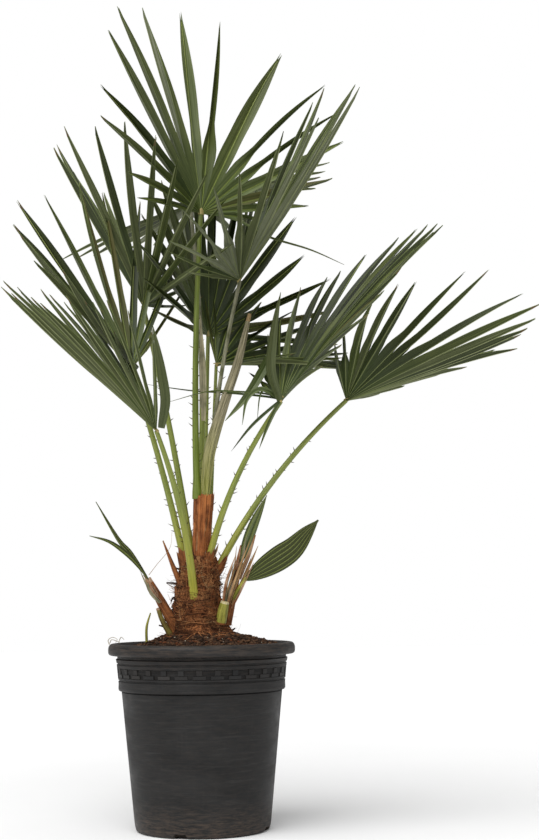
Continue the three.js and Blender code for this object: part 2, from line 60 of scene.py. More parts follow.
# Fronds. point is where the leaflets meet, and foot is where the stalk starts, which bends towards bow.
# heading and rise aim the middle rib, roll turns the fan about it, spread is half the fan's angle.
# cup lifts the side leaflets, short cuts them, skew lengthens those of one side and cuts the other's,
# droop bends all of them down, joined is the share of the reach where they are still one sheet,
# and slim is how much of their width they keep beyond it.
# dark is the share of leaflets in the darkest green, age goes from 0, fresh and green, to 1, with brown tips
# and worn leaflets, and shut folds all leaflets further.
FRONDS = {
    "top": dict(
        point=(0.003, -0.015, 0.796), heading=83, rise=85, roll=-35, cup=0.59, reach=0.296, spread=97,
        short=0.61, skew=-0.11, droop=0.07, joined=0.27, slim=0.82, leaflets=16, seed=99,
        foot=(-0.0045, -0.005, 0.42), bow=(-0.0045, 0, 0), stalk=(0.0048, 0.003), dark=0, age=0.1, shut=0,
    ),
    "top_rear": dict(
        point=(-0.012, 0.06, 0.826), heading=77, rise=8, roll=17, cup=0.12, reach=0.289, spread=63,
        short=0.17, skew=-0.06, droop=0.03, joined=0.35, slim=0.86, leaflets=17, seed=747,
        foot=(-0.001, 0.007, 0.42), bow=(0.008, 0, 0), stalk=(0.0042, 0.0028), dark=0.1, age=0.3, shut=0,
    ),
    "upper_right": dict(
        point=(0.053, -0.03, 0.703), heading=305, rise=37, roll=-39, cup=0.54, reach=0.293, spread=80,
        short=0.52, skew=-0.1, droop=0.01, joined=0.33, slim=0.6, leaflets=18, seed=1104,
        foot=(0.008, 0.005, 0.42), bow=(-0.006, 0, 0), stalk=(0.0034, 0.0026), dark=0.2, age=0.2, shut=12,
    ),
    "centre": dict(
        point=(0.012, 0.11, 0.654), heading=80, rise=84, roll=-60, cup=0.3, reach=0.251, spread=94,
        short=0.14, skew=0.06, droop=0, joined=0.36, slim=0.85, leaflets=17, seed=513,
        foot=(0.002, 0.014, 0.35), bow=(0, 0.012, 0), stalk=(0.004, 0.0028), dark=0.3, age=0.5, shut=10,
    ),
    "centre_low": dict(
        point=(0.022, 0.04, 0.602), heading=26, rise=9, roll=-30, cup=0.52, reach=0.231, spread=76,
        short=0.41, skew=0.06, droop=0.09, joined=0.33, slim=0.7, leaflets=15, seed=139,
        foot=(0.01, 0.012, 0.35), bow=(0, 0.004, 0), stalk=(0.003, 0.0022), dark=0.4, age=0.5, shut=8,
    ),
    "left_low": dict(
        point=(-0.054, -0.11, 0.498), heading=205, rise=40, roll=22, cup=0.56, reach=0.262, spread=53,
        short=0.19, skew=-0.12, droop=0.04, joined=0.36, slim=0.8, leaflets=21, seed=665,
        foot=(-0.009, -0.018, 0.29), bow=(0.008, -0.004, 0), stalk=(0.006, 0.003), dark=0, age=0.8, shut=0,
    ),
    "left_mid": dict(
        point=(-0.088, -0.03, 0.587), heading=209, rise=48, roll=49, cup=0.56, reach=0.251, spread=79,
        short=0.41, skew=0.13, droop=0, joined=0.29, slim=0.85, leaflets=16, seed=1026,
        foot=(-0.017, -0.002, 0.318), bow=(0.004, 0, 0), stalk=(0.005, 0.003), dark=0.1, age=0.6, shut=0,
    ),
    "left_upper": dict(
        point=(-0.075, 0.03, 0.681), heading=180, rise=61, roll=-8, cup=0.59, reach=0.264, spread=92,
        short=0.25, skew=-0.06, droop=0.01, joined=0.28, slim=0.83, leaflets=17, seed=716,
        foot=(-0.01, 0.01, 0.334), bow=(0.004, 0, 0), stalk=(0.005, 0.003), dark=0.1, age=0.4, shut=0,
    ),
    "right": dict(
        point=(0.103, -0.06, 0.54), heading=8, rise=54, roll=-10, cup=0.24, reach=0.326, spread=75,
        short=0.54, skew=0.04, droop=0.1, joined=0.34, slim=0.72, leaflets=20, seed=948,
        foot=(0.008, -0.009, 0.334), bow=(-0.011, 0, 0.004), stalk=(0.005, 0.003), dark=0.6, age=0.6, shut=4,
    ),
    "far_right": dict(
        point=(0.193, 0.01, 0.549), heading=345, rise=24, roll=15, cup=0.41, reach=0.286, spread=76,
        short=0.55, skew=-0.12, droop=0.04, joined=0.36, slim=0.75, leaflets=18, seed=223,
        foot=(0.015, 0, 0.318), bow=(-0.011, 0, 0.008), stalk=(0.005, 0.003), dark=0.6, age=0.9, shut=0,
    ),
}
LEAFLET = dict(
    thickness=0.0007, rib=0.0009, rib_depth=0.0005, open_fold=math.radians(38), shut_fold=math.radians(74),
    fold_power=1.5, side_split=0.5, swell=1.45, taper=0.93, blunt=3.2, length_variation=0.06,
    lift_variation=0.009, angle_variation=0.2, first=0.008, joined_steps=6, free_steps=16, eased=0.25,
    twist=0.3, sway=0.004, bulge=0.05, tip_split=0.92, tip_length=(0.75, 1.0), tip_aside=(0.35, 0.75),
)
MAX_FOLD = math.radians(80)
# What age does to leaflets. Pairs are the value at age 0 and what full age adds.
AGEING = dict(
    worn=0.2, grown=2, pale_below=0.4, dry_share=(0.1, 0.6), shortest_dry=0.01, longest_dry=(0.02, 0.08),
)
YOUNG = ("leaf_olive", "leaf_fresh", "leaf_fresh")
GROWN = ("leaf_deep", "leaf_deep", "leaf_olive", "leaf_fresh")
# Corners across a leaflet, as shares of its half width. Those beside the middle lie on the rib's edges.
RIB_EDGE = 0.1
COLUMNS = (-1, -0.55, -RIB_EDGE, 0, RIB_EDGE, 0.55, 1)
MIDDLE = len(COLUMNS) // 2

# Leaf stalks with their spines, the crest at the fan's point and the dry sheath round the foot
STALK = dict(sides=14, steps=40, channel=0.16, base_flare=0.4, base_share=0.08)
SPINE = dict(
    first=0.06, last=0.8, pitch=0.0095, length=0.0075, radius=0.001, taper=0.9, sunk=0.0012, hook=0.2,
    wander=math.radians(25), forward=0.7, aims=(0.2, 1.3), lengths=(0.4, 1.1), lower=1.1, upper=0.6,
    uneven=0.3, dark_from=0.5, sides=5,
)
CREST = dict(length=0.009, half_width=0.0045, depth=0.002, sunk=0.002, curl=0.0016, thickness=0.0015, steps=5)
CLASP = dict(
    columns=17, steps=9, half_turn=140, thickness=0.0007, even=0.8, torn=0.7, loose=1.35, flare=0.25,
    rough=0.0006, mapped=0.04,
)
# Share of the stalk's length that its dry sheath covers
CLASPS = {"left_mid": 0.13, "left_upper": 0.1, "right": 0.12, "far_right": 0.1}
# Look of some leaf stalks from a share of their length on
STALK_LOOKS = {
    "top": ("stalk_bright", 0),
    "top_rear": ("stalk_felt", 0.3),
    "upper_right": ("stalk_felt", 0.3),
}

# Trunk of old leaf bases, with the radius at shares of its height, and the stubs of cut leaves
TRUNK = dict(
    foot=0.235, top=0.346, lean=-0.005, scale_depth=0.07, sides=96, steps=80, rough=0.0016, sunk=0.001,
    stations=(
        (0, 0.041), (0.1, 0.038), (0.2, 0.033), (0.34, 0.028), (0.54, 0.0255), (0.74, 0.024), (0.89, 0.021),
        (1, 0.014),
    ),
)
STUBS = dict(
    count=9, fins=5, first=0.18, last=0.84, turn=math.radians(137.5), start=math.radians(60), sunk=0.008,
    out=0.012, rise=0.02, bow=0.002, radii=(0.005, 0.002), ridges=0.15, sides=14, steps=6,
)
# Torn edges of leaf bases. Pairs are the ends of a range that is drawn from.
SCALES = dict(
    count=52, seed=11, first=0.01, span=0.86, half_turn=(0.3, 0.5), rise=(0.16, 0.3), lift=0.001,
    flare=(0.0005, 0.0034), rough=0.0012, ragged=0.35, rounded=0.35, narrowed=0.55, pale=0.3, cells=8,
    mapped=0.03, thickness=0.0009,
)
# Fibre wound about the trunk: level or slanting is how far round it goes and how far it rises
WOUND = dict(
    count=2300, seed=5, highest=0.95, crowding=1.35, level=((0.4, 1.3), (-0.05, 0.07)),
    slanting=((0.1, 0.5), (0.1, 0.32)), level_share=0.8, lift=(0.001, 0.0038), flare=(0.003, 0.014),
    flare_share=0.12, wave=0.001, height_wave=0.012, radius=(0.0002, 0.0006), taper=0.7, steps=7,
    # Below upper, the mix of looks holds more dark fibre: painted shade low on the trunk
    sides=4, upper=0.35, upper_shares=(52, 40, 8), lower_shares_painted_shade=(28, 68, 4),
)
# Ends that stand out of the trunk, thick or thin
LOOSE = dict(
    count=250, sunk=0.002, hook=(-1.2, 1.4), sway=0.6, thick_share=0.5, thick_length=(0.008, 0.017),
    thick_radius=(0.0007, 0.0013), length=(0.008, 0.022), radius=(0.0002, 0.0004), taper=0.85, steps=5,
    sides=5,
)
# Fibres that run from the trunk's foot down to the soil
SKIRT = dict(
    count=320, start=(0.02, 0.14), turn=0.7, reach=(0.002, 0.016), lift=0.001, bulge=0.003,
    radius=(0.0003, 0.0007), taper=0.6, steps=4, sides=4,
)
FIBRE_LOOKS = ("fibre_rust", "fibre_dark", "fibre_straw")
# Stiff dark hooks, from the trunk outwards
HOOK = dict(radius=0.002, taper=0.55, steps=12, sides=6)
HOOKS = (
    ((-0.025, -0.008, 0.307), (-0.034, -0.008, 0.311), (-0.045, -0.008, 0.312)),
    ((-0.027, -0.01, 0.279), (-0.031, -0.01, 0.287), (-0.036, -0.01, 0.293), (-0.039, -0.01, 0.288)),
    ((-0.02, -0.006, 0.323), (-0.026, -0.006, 0.328), (-0.033, -0.006, 0.331)),
    ((0.016, -0.008, 0.299), (0.02, -0.008, 0.307), (0.028, -0.008, 0.31)),
    ((0.029, -0.006, 0.246), (0.036, -0.006, 0.248), (0.043, -0.006, 0.253)),
    ((-0.04, -0.006, 0.249), (-0.046, -0.006, 0.255), (-0.055, -0.006, 0.258)),
)
SHEATH = dict(
    foot=0.3463, top=0.425, foot_radius=0.0108, top_radius=0.0128, lean=0.004, sides=72, steps=34,
    torn=0.009, folds=0.05, wrinkles=0.03, mouth=((0.9, 0), (0.86, 0.006), (0.5, 0.008)),
)
# Threads along the sheath, a little outside it, and further out beyond its mouth
THREADS = dict(
    count=70, seed=8, low=(0.0, 0.8), length=(0.15, 0.35), radius=0.0004, taper=0.6, steps=5, sides=4,
    outside=1.05, beyond=0.004, wind=0.15,
)
SPEAR = dict(
    line=((0.006, -0.006, 0.424), (0.01, -0.01, 0.466), (0.016, -0.012, 0.496), (0.033, -0.012, 0.548),
          (0.051, -0.012, 0.601), (0.066, -0.012, 0.662)),
    radii=(0.006, 0.0076, 0.008, 0.0068, 0.0056, 0.0024), sides=42, steps=60, tip=0.97, pleats=7, pleat=0.1,
    creases=13, crease=0.04,
)

# Pot. The lip's corners are half axes, out and up.
POT = dict(
    height=0.235, base_radius=0.085, waist_radius=0.1028, waist_height=0.174, band_radius=0.106,
    band_top_radius=0.1103, band_foot=0.004, lip_height=0.0145, lip_radius=0.12, wall=0.003, floor=0.008,
    wall_foot=0.012, wall_steps=24, sides=240, centre=0.0005,
)
LIP = dict(corner=(0.005, 0.007), lower_corner=(0.0035, 0.004), steps=6)
NOTCH = dict(count=4, width=0.015, height=0.006, depth=0.01, first=math.radians(-110))
BAND = dict(plain=0.185, lower_groove=0.189, upper_groove=0.21, groove=0.0012, bead=0.0009, gap=0.0008)
# Blocks in the recess of the band. foot and post are the width, lower edge and upper edge of a block.
RELIEF = dict(
    count=30, turn=math.radians(4.2), depth=0.0012, edge=0.0004, sunk=0.0005, inset=0.0003,
    foot=(0.0165, 0.193, 0.1978), post=(0.0075, 0.1978, 0.2045),
)
SOIL = dict(
    edge_height=0.226, shoulder_radius=0.06, shoulder_height=0.24, top_radius=0.042, top_height=0.245,
    lumps=0.0035, lump_scale=45, lean=0.02, gap=0.0006, sides=150, rings=44,
)
CRUMBS = dict(
    count=2600, seed=21, size=(0.0007, 0.0032), rough=0.25, sunk=0.3, within=(0.05, 0.99), tilt=0.5,
    stretch=((0.7, 1.8), (0.6, 1.1), (0.4, 0.8)), pale_size=0.5, swing=6.28,
    looks=("crumb_dark", "crumb_brown", "crumb_red", "crumb_pale"), shares=(60, 26, 10, 4),
)
FLAT_MAP = "flat"


def tone(code, alpha=1.0):
    """Colour from its hexadecimal code, made linear."""
    shares = (int(code[k:k + 2], 16) / 255 for k in (0, 2, 4))
    return (*((s / 12.92 if s < 0.04045 else ((s + 0.055) / 1.055) ** 2.4) for s in shares), alpha)


def blend(a, b, share):
    return a + (b - a) * share


def smooth(share):
    held = min(max(share, 0), 1)
    return held * held * (3 - 2 * held)


def seeded(seed):
    """Even draws from a whole-number seed, in 0 to 1."""
    state = seed
    while True:
        state = (state * 1664525 + 1013904223) % 4294967296
        yield state / 4294967296


def along_values(values, share):
    """Value at a share of the way along evenly spaced values."""
    spans = len(values) - 1
    k = min(int(share * spans), spans - 1)
    return blend(values[k], values[k + 1], share * spans - k)


def spline(points, steps):
    """Smooth line through a few points."""
    knots = [Vector(p) for p in points]
    knots = [2 * knots[0] - knots[1], *knots, 2 * knots[-1] - knots[-2]]
    spans = len(knots) - 3
    line = []
    for share in even_shares(steps):
        at = share * spans
        k = min(int(at), spans - 1)
        t = at - k
        a, b, c, d = knots[k:k + 4]
        line.append(0.5 * (2 * b + (c - a) * t + (2 * a - 5 * b + 4 * c - d) * t ** 2
                           + (3 * b - 3 * c + d - a) * t ** 3))
    return line


def round_angles(count):
    return [2 * math.pi * k / count for k in range(count)]


def outward_at(angle):
    return Vector((math.cos(angle), math.sin(angle), 0))


def round_place(radius, angle, height):
    return Vector((radius * math.cos(angle), radius * math.sin(angle), height))


def even_shares(steps):
    """Evenly spaced shares from 0 to 1, both included."""
    return [k / steps for k in range(steps + 1)]


def direction_at(line, number):
    """Direction of a line of points at one of them."""
    return (line[min(number + 1, len(line) - 1)] - line[max(number - 1, 0)]).normalized()


def put(name, data):
    """Object with this data, in the scene."""
    made = bpy.data.objects.new(name, data)
    bpy.context.scene.collection.objects.link(made)
    return made


class Shape:
    """Corners and faces of one mesh. A face has a look. Its corners have places on a flat map in metres."""

    def __init__(self):
        self.points = []
        self.faces = []
        self.looks = []
        self.flats = []

    def add(self, place):
        self.points.append(place)
        return len(self.points) - 1

    def face(self, corners, look, flats):
        self.faces.append(corners)
        self.looks.append(look)
        self.flats.extend(flats)


def make_piece(name, shape, replaces=(), crease=35):
    """Piece of the part from its shape. It rides on the body and stands for the nodes that it replaces."""
    mesh = bpy.data.meshes.new(name)
    mesh.from_pydata(shape.points, [], shape.faces)
    names = sorted(set(shape.looks))
    for look in names:
        mesh.materials.append(LOOKS[look])
    numbers = {look: k for k, look in enumerate(names)}
    mesh.polygons.foreach_set("material_index", [numbers[look] for look in shape.looks])
    layer = mesh.uv_layers.new(name=FLAT_MAP)
    layer.data.foreach_set("uv", [value for flat in shape.flats for value in flat])
    work = bmesh.new()
    work.from_mesh(mesh)
    bmesh.ops.recalc_face_normals(work, faces=work.faces)
    work.to_mesh(mesh)
    work.free()
    mesh.shade_smooth()
    mesh.set_sharp_from_angle(angle=math.radians(crease))
    piece = put(name, mesh)
    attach(piece, BODY)
    if replaces:
        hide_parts(*replaces)


def skin(shape, rings, look):
    """Closed skin over rings with the same number of points. look may take the share of the rings passed."""
    look_at = look if callable(look) else lambda share: look
    numbers = [[shape.add(point) for point in ring] for ring in rings]
    sides = len(rings[0])
    middles = [sum(ring, Vector()) / sides for ring in rings]
    girth = max(sum((ring[j] - ring[j - 1]).length for j in range(sides)) for ring in rings)
    travelled = [0]
    for ring, before in zip(rings[1:], rings):
        travelled.append(travelled[-1] + (ring[0] - before[0]).length)
    for k in range(len(rings) - 1):
        shown = look_at((k + 0.5) / (len(rings) - 1))
        low, high = travelled[k], travelled[k + 1]
        for j in range(sides):
            after = (j + 1) % sides
            left, right = j / sides * girth, (j + 1) / sides * girth
            corners = (numbers[k][j], numbers[k][after], numbers[k + 1][after], numbers[k + 1][j])
            shape.face(corners, shown, ((left, low), (right, low), (right, high), (left, high)))
    for k, share in ((0, 0), (-1, 1)):
        middle = shape.add(middles[k])
        shown = look_at(share)
        for j in range(sides):
            after = (j + 1) % sides
            corners = (middle, numbers[k][after], numbers[k][j])
            shape.face(corners if k == 0 else corners[::-1], shown, ((0, travelled[k]),) * 3)


def tube_rings(line, radius_at, sides, side=UP):
    """Rings round a line of points. radius_at takes the share of the way along and the angle from side."""
    last = len(line) - 1
    rings = []
    for k, centre in enumerate(line):
        along = direction_at(line, k)
        side = side - along * side.dot(along)
        side = side.normalized() if side.length > 1e-4 else along.orthogonal().normalized()
        over = along.cross(side)
        ring = []
        for j in range(sides):
            angle = 2 * math.pi * j / sides
            radius = radius_at(k / last, angle)
            ring.append(centre + side * (radius * math.cos(angle)) + over * (radius * math.sin(angle)))
        rings.append(ring)
    return rings


def tube(shape, line, radius_at, sides, look):
    skin(shape, tube_rings(line, radius_at, sides), look)


def thread(shape, line, style, radius, look):
    """Round thread that loses the style's share of its radius towards its tip."""
    tube(shape, line, lambda share, angle: radius * (1 - style["taper"] * share), style["sides"], look)


class Sheet:
    """Thin sheet given once by its middle surface, and thickened to both sides when it is closed."""

    def __init__(self):
        self.points = []
        self.faces = []

    def add(self, place, normal, flat, depth=0.0):
        self.points.append((place, normal, flat, depth))
        return len(self.points) - 1

    def face(self, corners, upper, under):
        self.faces.append((corners, upper, under))

    def grid(self, rows, looks):
        """Faces between rows of corners. looks is the pair for both sides, or gives it by row and column."""
        for k, (low, high) in enumerate(zip(rows, rows[1:])):
            for j in range(len(low) - 1):
                pair = looks(k, j) if callable(looks) else looks
                self.face((low[j], low[j + 1], high[j + 1], high[j]), *pair)

    def close(self, shape, thickness, edge_look):
        half = thickness / 2
        front = [shape.add(place + normal * half) for place, normal, _, _ in self.points]
        back = [shape.add(place - normal * (half + depth)) for place, normal, _, depth in self.points]
        flats = [flat for _, _, flat, _ in self.points]
        edges = set()
        for corners, upper, under in self.faces:
            shape.face([front[c] for c in corners], upper, [flats[c] for c in corners])
            turned = corners[::-1]
            shape.face([back[c] for c in turned], under, [flats[c] for c in turned])
            edges.update(zip(corners, (*corners[1:], corners[0])))
        for a, b in sorted(edges):
            if (b, a) not in edges:
                shape.face((back[a], back[b], front[b], front[a]), edge_look,
                           (flats[a], flats[b], flats[b], flats[a]))


def strip_width(t):
    """Share of a strip's full width: narrow at its foot, widest below its middle and pointed at its tip."""
    return max(math.sin(math.pi * (0.12 + 0.88 * t) ** 0.75) ** 0.8, 0.05)


def add_strip(shape, line, width, face, upper, under, fold):
    """Narrow strip along a line, folded in two along its middle."""
    sheet = Sheet()
    rows = []
    last = len(line) - 1
    travelled = 0
    for k, place in enumerate(line):
        along = direction_at(line, k)
        across = along.cross(face).normalized()
        normal = across.cross(along)
        half = width / 2 * strip_width(k / last)
        travelled += (place - line[max(k - 1, 0)]).length
        rows.append([
            sheet.add(place + across * (half * side) + normal * (half * fold * abs(side)), normal,
                      (side * half, travelled))
            for side in (-1, -0.5, 0, 0.5, 1)
        ])
    sheet.grid(rows, (upper, under))
    sheet.close(shape, LEAFLET["thickness"], under)


# Materials

class Look:
    """One material made of nodes. Inputs are numbers, colours or other nodes' outputs."""

    def __init__(self, name, roughness, specular=0.4, sheen=0.0):
        self.material = bpy.data.materials.new(name)
        self.material.use_nodes = True
        self.tree = self.material.node_tree
        self.shader = self.tree.nodes["Principled BSDF"]
        self.shader.inputs["Roughness"].default_value = roughness
        self.shader.inputs["Specular IOR Level"].default_value = specular
        self.shader.inputs["Sheen Weight"].default_value = sheen

    def feed(self, socket, value):
        if isinstance(value, bpy.types.NodeSocket):
            self.tree.links.new(value, socket)
        else:
            socket.default_value = value

    def node(self, kind, inputs=None, **settings):
        made = self.tree.nodes.new(f"ShaderNode{kind}")
        for key, value in settings.items():
            setattr(made, key, value)
        for key, value in (inputs or {}).items():
            self.feed(made.inputs[key], value)
        return made

    def mapped(self, source, scale):
        return self.node("Mapping", {"Vector": source, "Scale": scale}).outputs["Vector"]

    def flat_place(self, across, along):
        """Place on the flat map, with this many features a metre across and along."""
        return self.mapped(self.node("UVMap", uv_map=FLAT_MAP).outputs["UV"], (across, along, 1))

    def solid_place(self, *scale):
        return self.mapped(self.node("TexCoord").outputs["Object"], scale if len(scale) == 3 else scale * 3)

    def grain(self, place, detail=3.0, rough=0.55):
        inputs = {"Vector": place, "Scale": 1.0, "Detail": detail, "Roughness": rough}
        return self.node("TexNoise", inputs).outputs["Fac"]

    def ranged(self, value, low, high, to_low=0.0, to_high=1.0):
        inputs = {"Value": value, "From Min": low, "From Max": high, "To Min": to_low, "To Max": to_high}
        return self.node("MapRange", inputs, clamp=True).outputs["Result"]

    def times(self, a, b):
        return self.node("Math", {0: a, 1: b}, operation="MULTIPLY").outputs["Value"]

    def larger(self, a, b):
        return self.node("Math", {0: a, 1: b}, operation="MAXIMUM").outputs["Value"]

    def mixed(self, factor, a, b):
        made = self.node("Mix", data_type="RGBA")
        for number, value in ((0, factor), (6, a), (7, b)):
            self.feed(made.inputs[number], value)
        return made.outputs[2]

    def along(self):
        """Distance along the flat map, in metres."""
        return self.node("SeparateXYZ", {"Vector": self.flat_place(1, 1)}).outputs["Y"]

    def height(self):
        """Height above the ground, in metres."""
        split = self.node("SeparateXYZ", {"Vector": self.node("TexCoord").outputs["Object"]})
        return split.outputs["Z"]

    def paint(self, colour):
        self.feed(self.shader.inputs["Base Color"], colour)

    def gloss(self, roughness):
        self.feed(self.shader.inputs["Roughness"], roughness)

    def relief(self, height, strength, distance):
        made = self.node("Bump", {"Height": height, "Strength": strength, "Distance": distance})
        self.feed(self.shader.inputs["Normal"], made.outputs["Normal"])


def leaf_look(name, body, streak, roughness=0.44, heart="35461a"):
    """Leaf blade with veins and paler streaks along it, and another green near the fan's point."""
    look = Look(name, roughness, specular=0.3)
    streaks = look.ranged(look.grain(look.flat_place(620, 7), detail=2), 0.4, 0.6)
    veins = look.ranged(look.grain(look.flat_place(1900, 4), detail=1), 0.3, 0.7, 0.5, 1.0)
    patches = look.ranged(look.grain(look.solid_place(35), detail=2), 0.3, 0.75, 0.5, 1.0)
    blade = look.mixed(look.times(look.times(streaks, veins), patches), tone(body), tone(streak))
    near = look.ranged(look.along(), 0.02, 0.13, 0.75, 0.0)
    look.paint(look.mixed(look.times(near, look.ranged(veins, 0.5, 1.0, 1.0, 0.5)), blade, tone(heart)))
    look.relief(look.grain(look.flat_place(1400, 5), detail=1), 0.35, 0.0005)
    return look.material


def streaked_look(name, body, streak, across, along, roughness, bump=0.0006, sheen=0.0):
    """Fibrous or papery surface with streaks along it and blotches over it."""
    look = Look(name, roughness, specular=0.25, sheen=sheen)
    streaks = look.grain(look.flat_place(across, along), detail=4)
    blotches = look.grain(look.solid_place(60), detail=3)
    share = look.ranged(look.times(streaks, look.ranged(blotches, 0.25, 0.7, 0.5, 1.3)), 0.3, 0.65)
    look.paint(look.mixed(share, tone(body), tone(streak)))
    look.relief(streaks, 0.6, bump)
    return look.material


def stalk_look(name, dark, light, felted):
    """Leaf stalk, yellow-green and clear at its foot, streaked above, with grey felt high up."""
    look = Look(name, 0.42, specular=0.45)
    streaks = look.grain(look.flat_place(900, 20), detail=3)
    green = look.mixed(look.ranged(streaks, 0.3, 0.7), tone(dark), tone(light))
    felt = look.ranged(look.grain(look.flat_place(170, 6), detail=3), 0.42, 0.6)
    high = look.ranged(look.height(), 0.5, 0.72, 0.05, felted)
    upper = look.mixed(look.times(felt, high), green, tone("7c7a5c"))
    foot = look.mixed(look.ranged(streaks, 0.35, 0.75), tone("95952a"), tone("bcb347"))
    specks = look.ranged(look.grain(look.solid_place(420), detail=2), 0.66, 0.74)
    clean = look.mixed(look.ranged(look.height(), 0.29, 0.42), foot, upper)
    look.paint(look.mixed(look.times(specks, 0.55), clean, tone("5a4424")))
    look.relief(streaks, 0.3, 0.0004)
    return look.material


def spear_look(name, low_tones, high_tones):
    """Pressed pleats with a pale felt, in one pair of colours low down and another towards the tip."""
    look = Look(name, 0.75, specular=0.25, sheen=0.15)
    streaks = look.grain(look.flat_place(800, 30), detail=4)
    share = look.ranged(streaks, 0.35, 0.65)
    low = look.mixed(share, tone(low_tones[0]), tone(low_tones[1]))
    high = look.mixed(share, tone(high_tones[0]), tone(high_tones[1]))
    look.paint(look.mixed(look.ranged(look.height(), 0.44, 0.53), low, high))
    look.relief(streaks, 0.6, 0.0008)
    return look.material


def mottled_look(name, dark, light, scale, roughness, bump, distance):
    """Crumbly or woody surface of two colours, mottled at a scale given in features a metre."""
    look = Look(name, roughness, specular=0.2)
    mottle = look.grain(look.solid_place(scale), detail=5, rough=0.65)
    look.paint(look.mixed(look.ranged(mottle, 0.35, 0.65), tone(dark), tone(light)))
    look.relief(mottle, bump, distance)
    return look.material


def pot_look(name, dark, light, shine):
    """Moulded black plastic with dry soil dust, fine scratches and brown scuffs at the rim and the foot."""
    look = Look(name, 0.55, specular=shine)
    height = look.height()
    dust = look.ranged(look.grain(look.solid_place(14, 14, 30), detail=7, rough=0.65), 0.35, 0.7)
    upright = look.ranged(look.grain(look.flat_place(140, 12), detail=4), 0.6, 0.8)
    level = look.ranged(look.grain(look.flat_place(14, 260), detail=6, rough=0.7), 0.52, 0.74)
    scratches = look.larger(look.times(upright, 0.4), level)
    edges = look.larger(look.ranged(height, 0.0, 0.045, 1.0, 0.1), look.ranged(height, 0.2, 0.23, 0.12, 0.6))
    smears = look.ranged(look.grain(look.flat_place(45, 380), detail=8, rough=0.75), 0.42, 0.68)
    scuffs = look.times(smears, edges)
    plastic = look.mixed(dust, tone(dark), tone(light))
    scratched = look.mixed(look.times(scratches, 0.26), plastic, tone("4b4a49"))
    look.paint(look.mixed(look.times(scuffs, 0.8), scratched, tone("5c4d41")))
    look.gloss(look.ranged(dust, 0.0, 1.0, 0.42, 0.7))
    look.relief(look.grain(look.solid_place(900), detail=2), 0.12, 0.0003)
    return look.material


def floor_look(name, dark, light):
    look = Look(name, 0.8, specular=0.2)
    mottle = look.grain(look.solid_place(3), detail=2)
    look.paint(look.mixed(mottle, (dark, dark, dark, 1), (light, light, light, 1)))
    return look.material


# Kinds of look, each with its materials and what its function takes after the name
KINDS = (
    (leaf_look, {
        "leaf_dark": ("1f270b", "3e471e"),
        "leaf_deep": ("262f0e", "4a5423"),
        "leaf_olive": ("444d22", "6f7745"),
        "leaf_fresh": ("515d30", "838a61"),
        "leaf_worn": ("48471f", "736f45", 0.6),
        "leaf_young": ("262a07", "42471a", 0.55, "30370f"),
        "under_dark": ("252d0d", "464f28", 0.55),
        "under_pale": ("535a3d", "8f9379", 0.6, "7a8066"),
        "under_grey": ("3b431e", "696f49", 0.6, "4d5536"),
        "under_green": ("333d10", "5c652f", 0.55),
        "rib": ("7d8a45", "b4ba80", 0.45, "7d8a45"),
        "rib_under": ("6a7244", "a0a57c", 0.55, "66713a"),
        "leaf_edge": ("586536", "7d8753", 0.55),
        "dry_tip": ("54432c", "8a7550", 0.7, "54432c"),
        "stripe": ("59632e", "848b52", 0.5, "6a7433"),
    }),
    (stalk_look, {
        "stalk": ("606e22", "8f9847", 0.7),
        "stalk_bright": ("46570f", "7e8d35", 0.3),
    }),
    (streaked_look, {
        "stalk_felt": ("55583a", "94927a", 500, 30, 0.8, 0.0006, 0.1),
        "spine": ("6f6a34", "8c8846", 1200, 60, 0.5),
        "spine_tip": ("2c2114", "4b3a22", 1200, 60, 0.5),
        "hastula": ("8a7a45", "b9ab74", 900, 90, 0.6),
        "scale": ("532e17", "9a6035", 700, 40, 0.85, 0.001),
        "scale_pale": ("6b4427", "a97a4c", 700, 40, 0.85, 0.001),
        "fibre_rust": ("7a4728", "b07a4c", 900, 40, 0.8),
        "fibre_dark": ("38200f", "673d23", 900, 40, 0.8),
        "fibre_straw": ("8b6a45", "b3946c", 900, 40, 0.8),
        "hook": ("1f140f", "3c281c", 900, 40, 0.7),
        "sheath": ("5a2b10", "b06c3a", 300, 10, 0.7, 0.001),
        "papery": ("7d4f30", "bfa489", 500, 26, 0.8, 0.0012),
        "felt": ("66654a", "9c9478", 800, 30, 0.85, 0.0008, 0.2),
        "spear_tip": ("8c7350", "b79c74", 800, 30, 0.8),
        "stub": ("696a24", "9f9a44", 900, 30, 0.5),
        "stub_old": ("503c1e", "7d7436", 700, 30, 0.7),
        "cut": ("b3a577", "d8cda6", 900, 90, 0.7),
    }),
    (spear_look, {
        "spear": (("5f641f", "a5a25e"), ("5f5a40", "aba284")),
    }),
    (mottled_look, {
        "bark": ("361c10", "734329", 160, 0.9, 0.8, 0.002),
        "soil": ("22160f", "573e2d", 300, 1.0, 0.9, 0.003),
        "crumb_dark": ("1e150f", "3f2c20", 500, 1.0, 0.6, 0.001),
        "crumb_brown": ("3a2618", "6a4e38", 500, 1.0, 0.6, 0.001),
        "crumb_red": ("42220f", "6b3f26", 500, 0.9, 0.6, 0.001),
        "crumb_pale": ("8f8473", "c2b9a6", 500, 0.9, 0.6, 0.001),
    }),
    (pot_look, {
        "pot": ("0c0d0e", "232323", 0.26),
        "pot_worn": ("0e0f10", "272625", 0.26),
        # Darker, duller plastic: painted shade in the band's recess and in the gap under the band
        "pot_deep": ("0a0b0b", "1c1c1c", 0.16),
    }),
    (floor_look, {
        "floor": (0.86, 0.9),
    }),
)
LOOKS = {name: make(name, *values) for make, looks in KINDS for name, values in looks.items()}


# Fans

